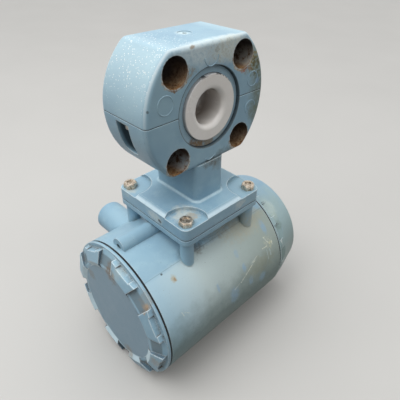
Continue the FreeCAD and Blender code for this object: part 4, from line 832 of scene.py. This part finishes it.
FLOOR_REACH = 4.0
floor_mesh = bmesh.new()
bmesh.ops.create_grid(floor_mesh, x_segments=1, y_segments=1, size=FLOOR_REACH)
bmesh.ops.translate(floor_mesh, verts=floor_mesh.verts, vec=(0, 0, cad_low.z))
floor_data = bpy.data.meshes.new("floor")
floor_mesh.to_mesh(floor_data)
floor_mesh.free()
floor = bpy.data.objects.new("floor", floor_data)
bpy.context.scene.collection.objects.link(floor)
floor_finish = Finish("pale_floor")
# pale to look at, but dark to the light that it would throw up on to the part
seen = floor_finish.tree.nodes.new("ShaderNodeLightPath").outputs
looked_at = floor_finish.sum("ADD", seen["Is Camera Ray"], seen["Is Glossy Ray"])
looked_at = floor_finish.sum("ADD", looked_at, seen["Is Transmission Ray"])
pale = floor_finish.paint_over(srgb(192, 191, 188), srgb(198, 197, 194),
                               floor_finish.grain(6.0, 2.0))
floor_colour = floor_finish.paint_over(srgb(74, 72, 68), pale, looked_at)
floor.data.materials.append(floor_finish.done(floor_colour, 0.9))


def lamp(name, place, size, power, aim=(0, 0, -0.1)):
    """A soft square lamp turned to its aim."""
    data = bpy.data.lights.new(name, "AREA")
    data.size = size
    data.energy = power
    made = bpy.data.objects.new(name, data)
    made.location = place
    made.rotation_euler = (Vector(aim) - Vector(place)).to_track_quat("-Z", "Y").to_euler()
    bpy.context.scene.collection.objects.link(made)
    return made


lamp("sky_lamp", (-0.15, -0.55, 1.05), size=0.9, power=7.0)
world = bpy.data.worlds.new("room")
world.use_nodes = True
room = world.node_tree


def room_node(kind, **settings):
    """A new node of the room's light."""
    made = room.nodes.new("ShaderNode" + kind)
    for key, value in settings.items():
        setattr(made, key, value)
    return made


# a soft dome, brightest overhead and dim at the walls, which looks plain white itself
DOME = {"From Min": 0.15, "From Max": 1.0, "To Min": 0.03, "To Max": 1.55}
aim = room_node("SeparateXYZ")
room.links.new(room_node("TexCoord").outputs["Generated"], aim.inputs[0])
dome = room_node("MapRange")
room.links.new(aim.outputs["Z"], dome.inputs["Value"])
for socket, value in DOME.items():
    dome.inputs[socket].default_value = value
ray = room_node("LightPath")
seen_first = room_node("Math", operation="MAXIMUM")
room.links.new(ray.outputs["Is Camera Ray"], seen_first.inputs[0])
room.links.new(ray.outputs["Is Glossy Ray"], seen_first.inputs[1])
seen_any = room_node("Math", operation="MAXIMUM")
room.links.new(seen_first.outputs[0], seen_any.inputs[0])
room.links.new(ray.outputs["Is Transmission Ray"], seen_any.inputs[1])
level = room_node("Mix")
room.links.new(seen_any.outputs[0], level.inputs[0])
room.links.new(dome.outputs[0], level.inputs[2])
level.inputs[3].default_value = 1.0
room.links.new(level.outputs[0], room.nodes["Background"].inputs["Strength"])
room.nodes["Background"].inputs["Color"].default_value = (1.0, 1.0, 1.0, 1.0)
bpy.context.scene.world = world

camera_data = bpy.data.cameras.new("camera")
camera_data.sensor_width = 36.0
camera_data.lens = 35.76
camera_data.shift_x = -0.0245
camera_data.shift_y = -0.0274
camera_data.clip_start = 0.01
camera = bpy.data.objects.new("camera", camera_data)
stand = Vector((0.208904, -0.186182, 0.109067))
right = Vector((0.70444, 0.70966, 0.01264))
up = Vector((-0.40539, 0.38766, 0.82787))
back = Vector((0.58260, -0.58831, 0.56077))
turned = Matrix((right, up, back)).transposed().to_4x4()
camera.matrix_world = Matrix.Translation(stand) @ turned
bpy.context.scene.collection.objects.link(camera)
bpy.context.scene.camera = camera
bpy.context.scene.view_settings.view_transform = "Standard"
